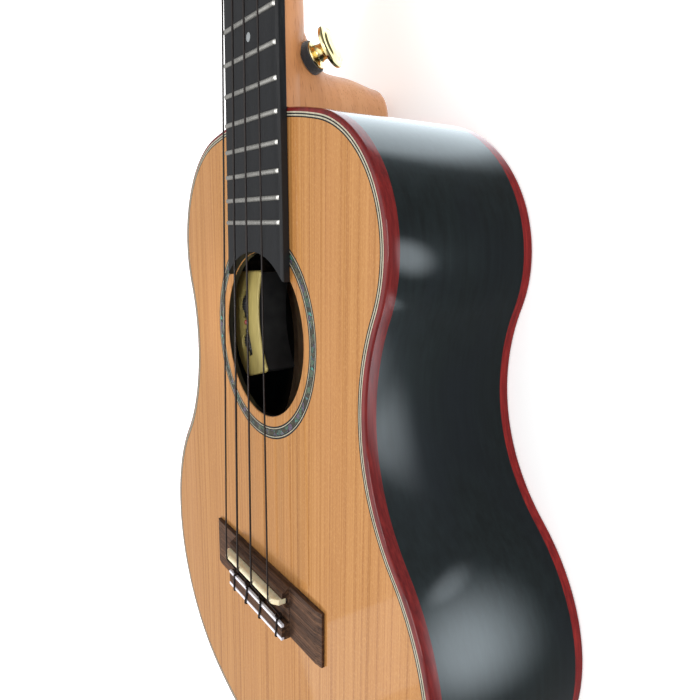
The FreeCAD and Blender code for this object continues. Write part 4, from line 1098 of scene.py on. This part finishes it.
def floor():
    """Wide pale floor under the flat back. Gloss sees the dim lower dome in place of it."""
    look = Look("pale_floor", roughness=0.9, specular_ior_level=0.1, emission_color=(1, 1, 1, 1),
                emission_strength=0.34)
    tone = look.noise(look.stretch(400, 400, 400), detail=1)
    look.colour(look.ramp(tone, (0.3, (0.88, 0.88, 0.88)), (0.7, (0.9, 0.9, 0.9))))
    flat_square("floor", look.material, FLOOR_REACH).visible_glossy = False


def glow(name, centre, long, wide, turn, strength, core=0.2):
    """Soft-edged patch of light lying on the floor, seen only in gloss.

    The centre and the two widths are in millimetres, and core is the evenly bright share of the middle.
    """
    material = bpy.data.materials.new(name)
    material.use_nodes = True
    material.node_tree.nodes.clear()
    wires = Wiring(material.node_tree)
    ball = wires.node("TexGradient", {"Vector": wires.place}, gradient_type="SPHERICAL").outputs["Fac"]
    share = wires.fade(ball, 0.0, 1 - core, 0.0, strength)
    light = wires.node("Emission", {"Color": GLOW_COLOUR, "Strength": share}).outputs[0]
    clear = wires.node("BsdfTransparent", {}).outputs[0]
    both = wires.node("AddShader", {0: clear, 1: light}).outputs[0]
    wires.node("OutputMaterial", {"Surface": both})
    made = flat_square(name, material)
    made.location = Vector((*centre, GLOW_LIFT)) * MM
    made.scale = (wide / 2 * MM, long / 2 * MM, 1)
    made.rotation_euler = (0, 0, math.radians(turn))
    made.visible_camera = False
    made.visible_diffuse = False
    made.visible_shadow = False


def aimed(data, place, target):
    """Put a light at a place in metres, turned to a target."""
    made = bpy.data.objects.new(data.name, data)
    made.location = place
    made.rotation_euler = (Vector(target) - Vector(place)).to_track_quat("-Z", "Y").to_euler()
    made.visible_camera = False
    bpy.context.scene.collection.objects.link(made)
    return made


def panel(name, place, target, width, height, power, mirrored=True):
    """Soft box, seen in gloss unless told otherwise."""
    data = bpy.data.lights.new(name, "AREA")
    data.shape = "RECTANGLE"
    data.size = width
    data.size_y = height
    data.energy = power
    aimed(data, place, target).visible_glossy = mirrored


def sky():
    """Studio dome: bright overhead, dim towards the horizon, dimmer below."""
    world = bpy.data.worlds.new("studio")
    world.use_nodes = True
    wires = Wiring(world.node_tree, "Generated")
    height = wires.split()[2]
    climb = wires.fade(height, 0.45, 1.0, HORIZON, ZENITH)
    below = wires.fade(height, -0.02, 0.0, NADIR / HORIZON, 1.0, curve="LINEAR")
    background = world.node_tree.nodes["Background"]
    wires.feed(background.inputs["Color"], (1, 1, 1, 1))
    wires.feed(background.inputs["Strength"], wires.calc("MULTIPLY", climb, below))
    bpy.context.scene.world = world


def spot(name, place, target, spread, power):
    """Narrow soft-edged lamp."""
    data = bpy.data.lights.new(name, "SPOT")
    data.spot_size = math.radians(spread)
    data.spot_blend = 1.0
    data.shadow_soft_size = 0.03
    data.energy = power
    aimed(data, place, target)


def lights():
    """Dome, soft boxes, a narrow lamp on the preamp, and the patches that the treble side mirrors."""
    sky()
    spot("hole_light", (0.40, 0.06, 0.60), (-0.036, 0.112, 0.066), 4.0, 22)
    panel("key_light", (-0.82, -0.95, 1.05), (0, 0.1, 0.05), 0.36, 0.36, 27, mirrored=False)
    panel("fill_light", (0.95, 0.35, 0.55), (0.02, 0.15, 0.04), 0.5, 0.5, 3)
    panel("glow_card", (-0.62, -0.60, 0.72), (0.085, 0.02, 0.075), 0.16, 0.40, 0.12)
    glow("upper_glow", (156, 140), 70, 46, -20, 3.4)
    glow("waist_glow", (158, 70), 30, 58, 0, 3.2)
    glow("lower_glow", (186, 14), 160, 124, 24, 4.0, 0.1)
    glow("heel_glow", (0, 225), 240, 176, 0, 2.0, 0.76)


def build():
    """Every piece of the instrument."""
    soundboard()
    purfling()
    rosette()
    bindings()
    sides()
    back()
    frets()
    strings()
    strap_button()
    preamp()
    dress_packed_parts()


camera()
floor()
lights()
build()
bpy.context.scene.view_settings.view_transform = "Standard"
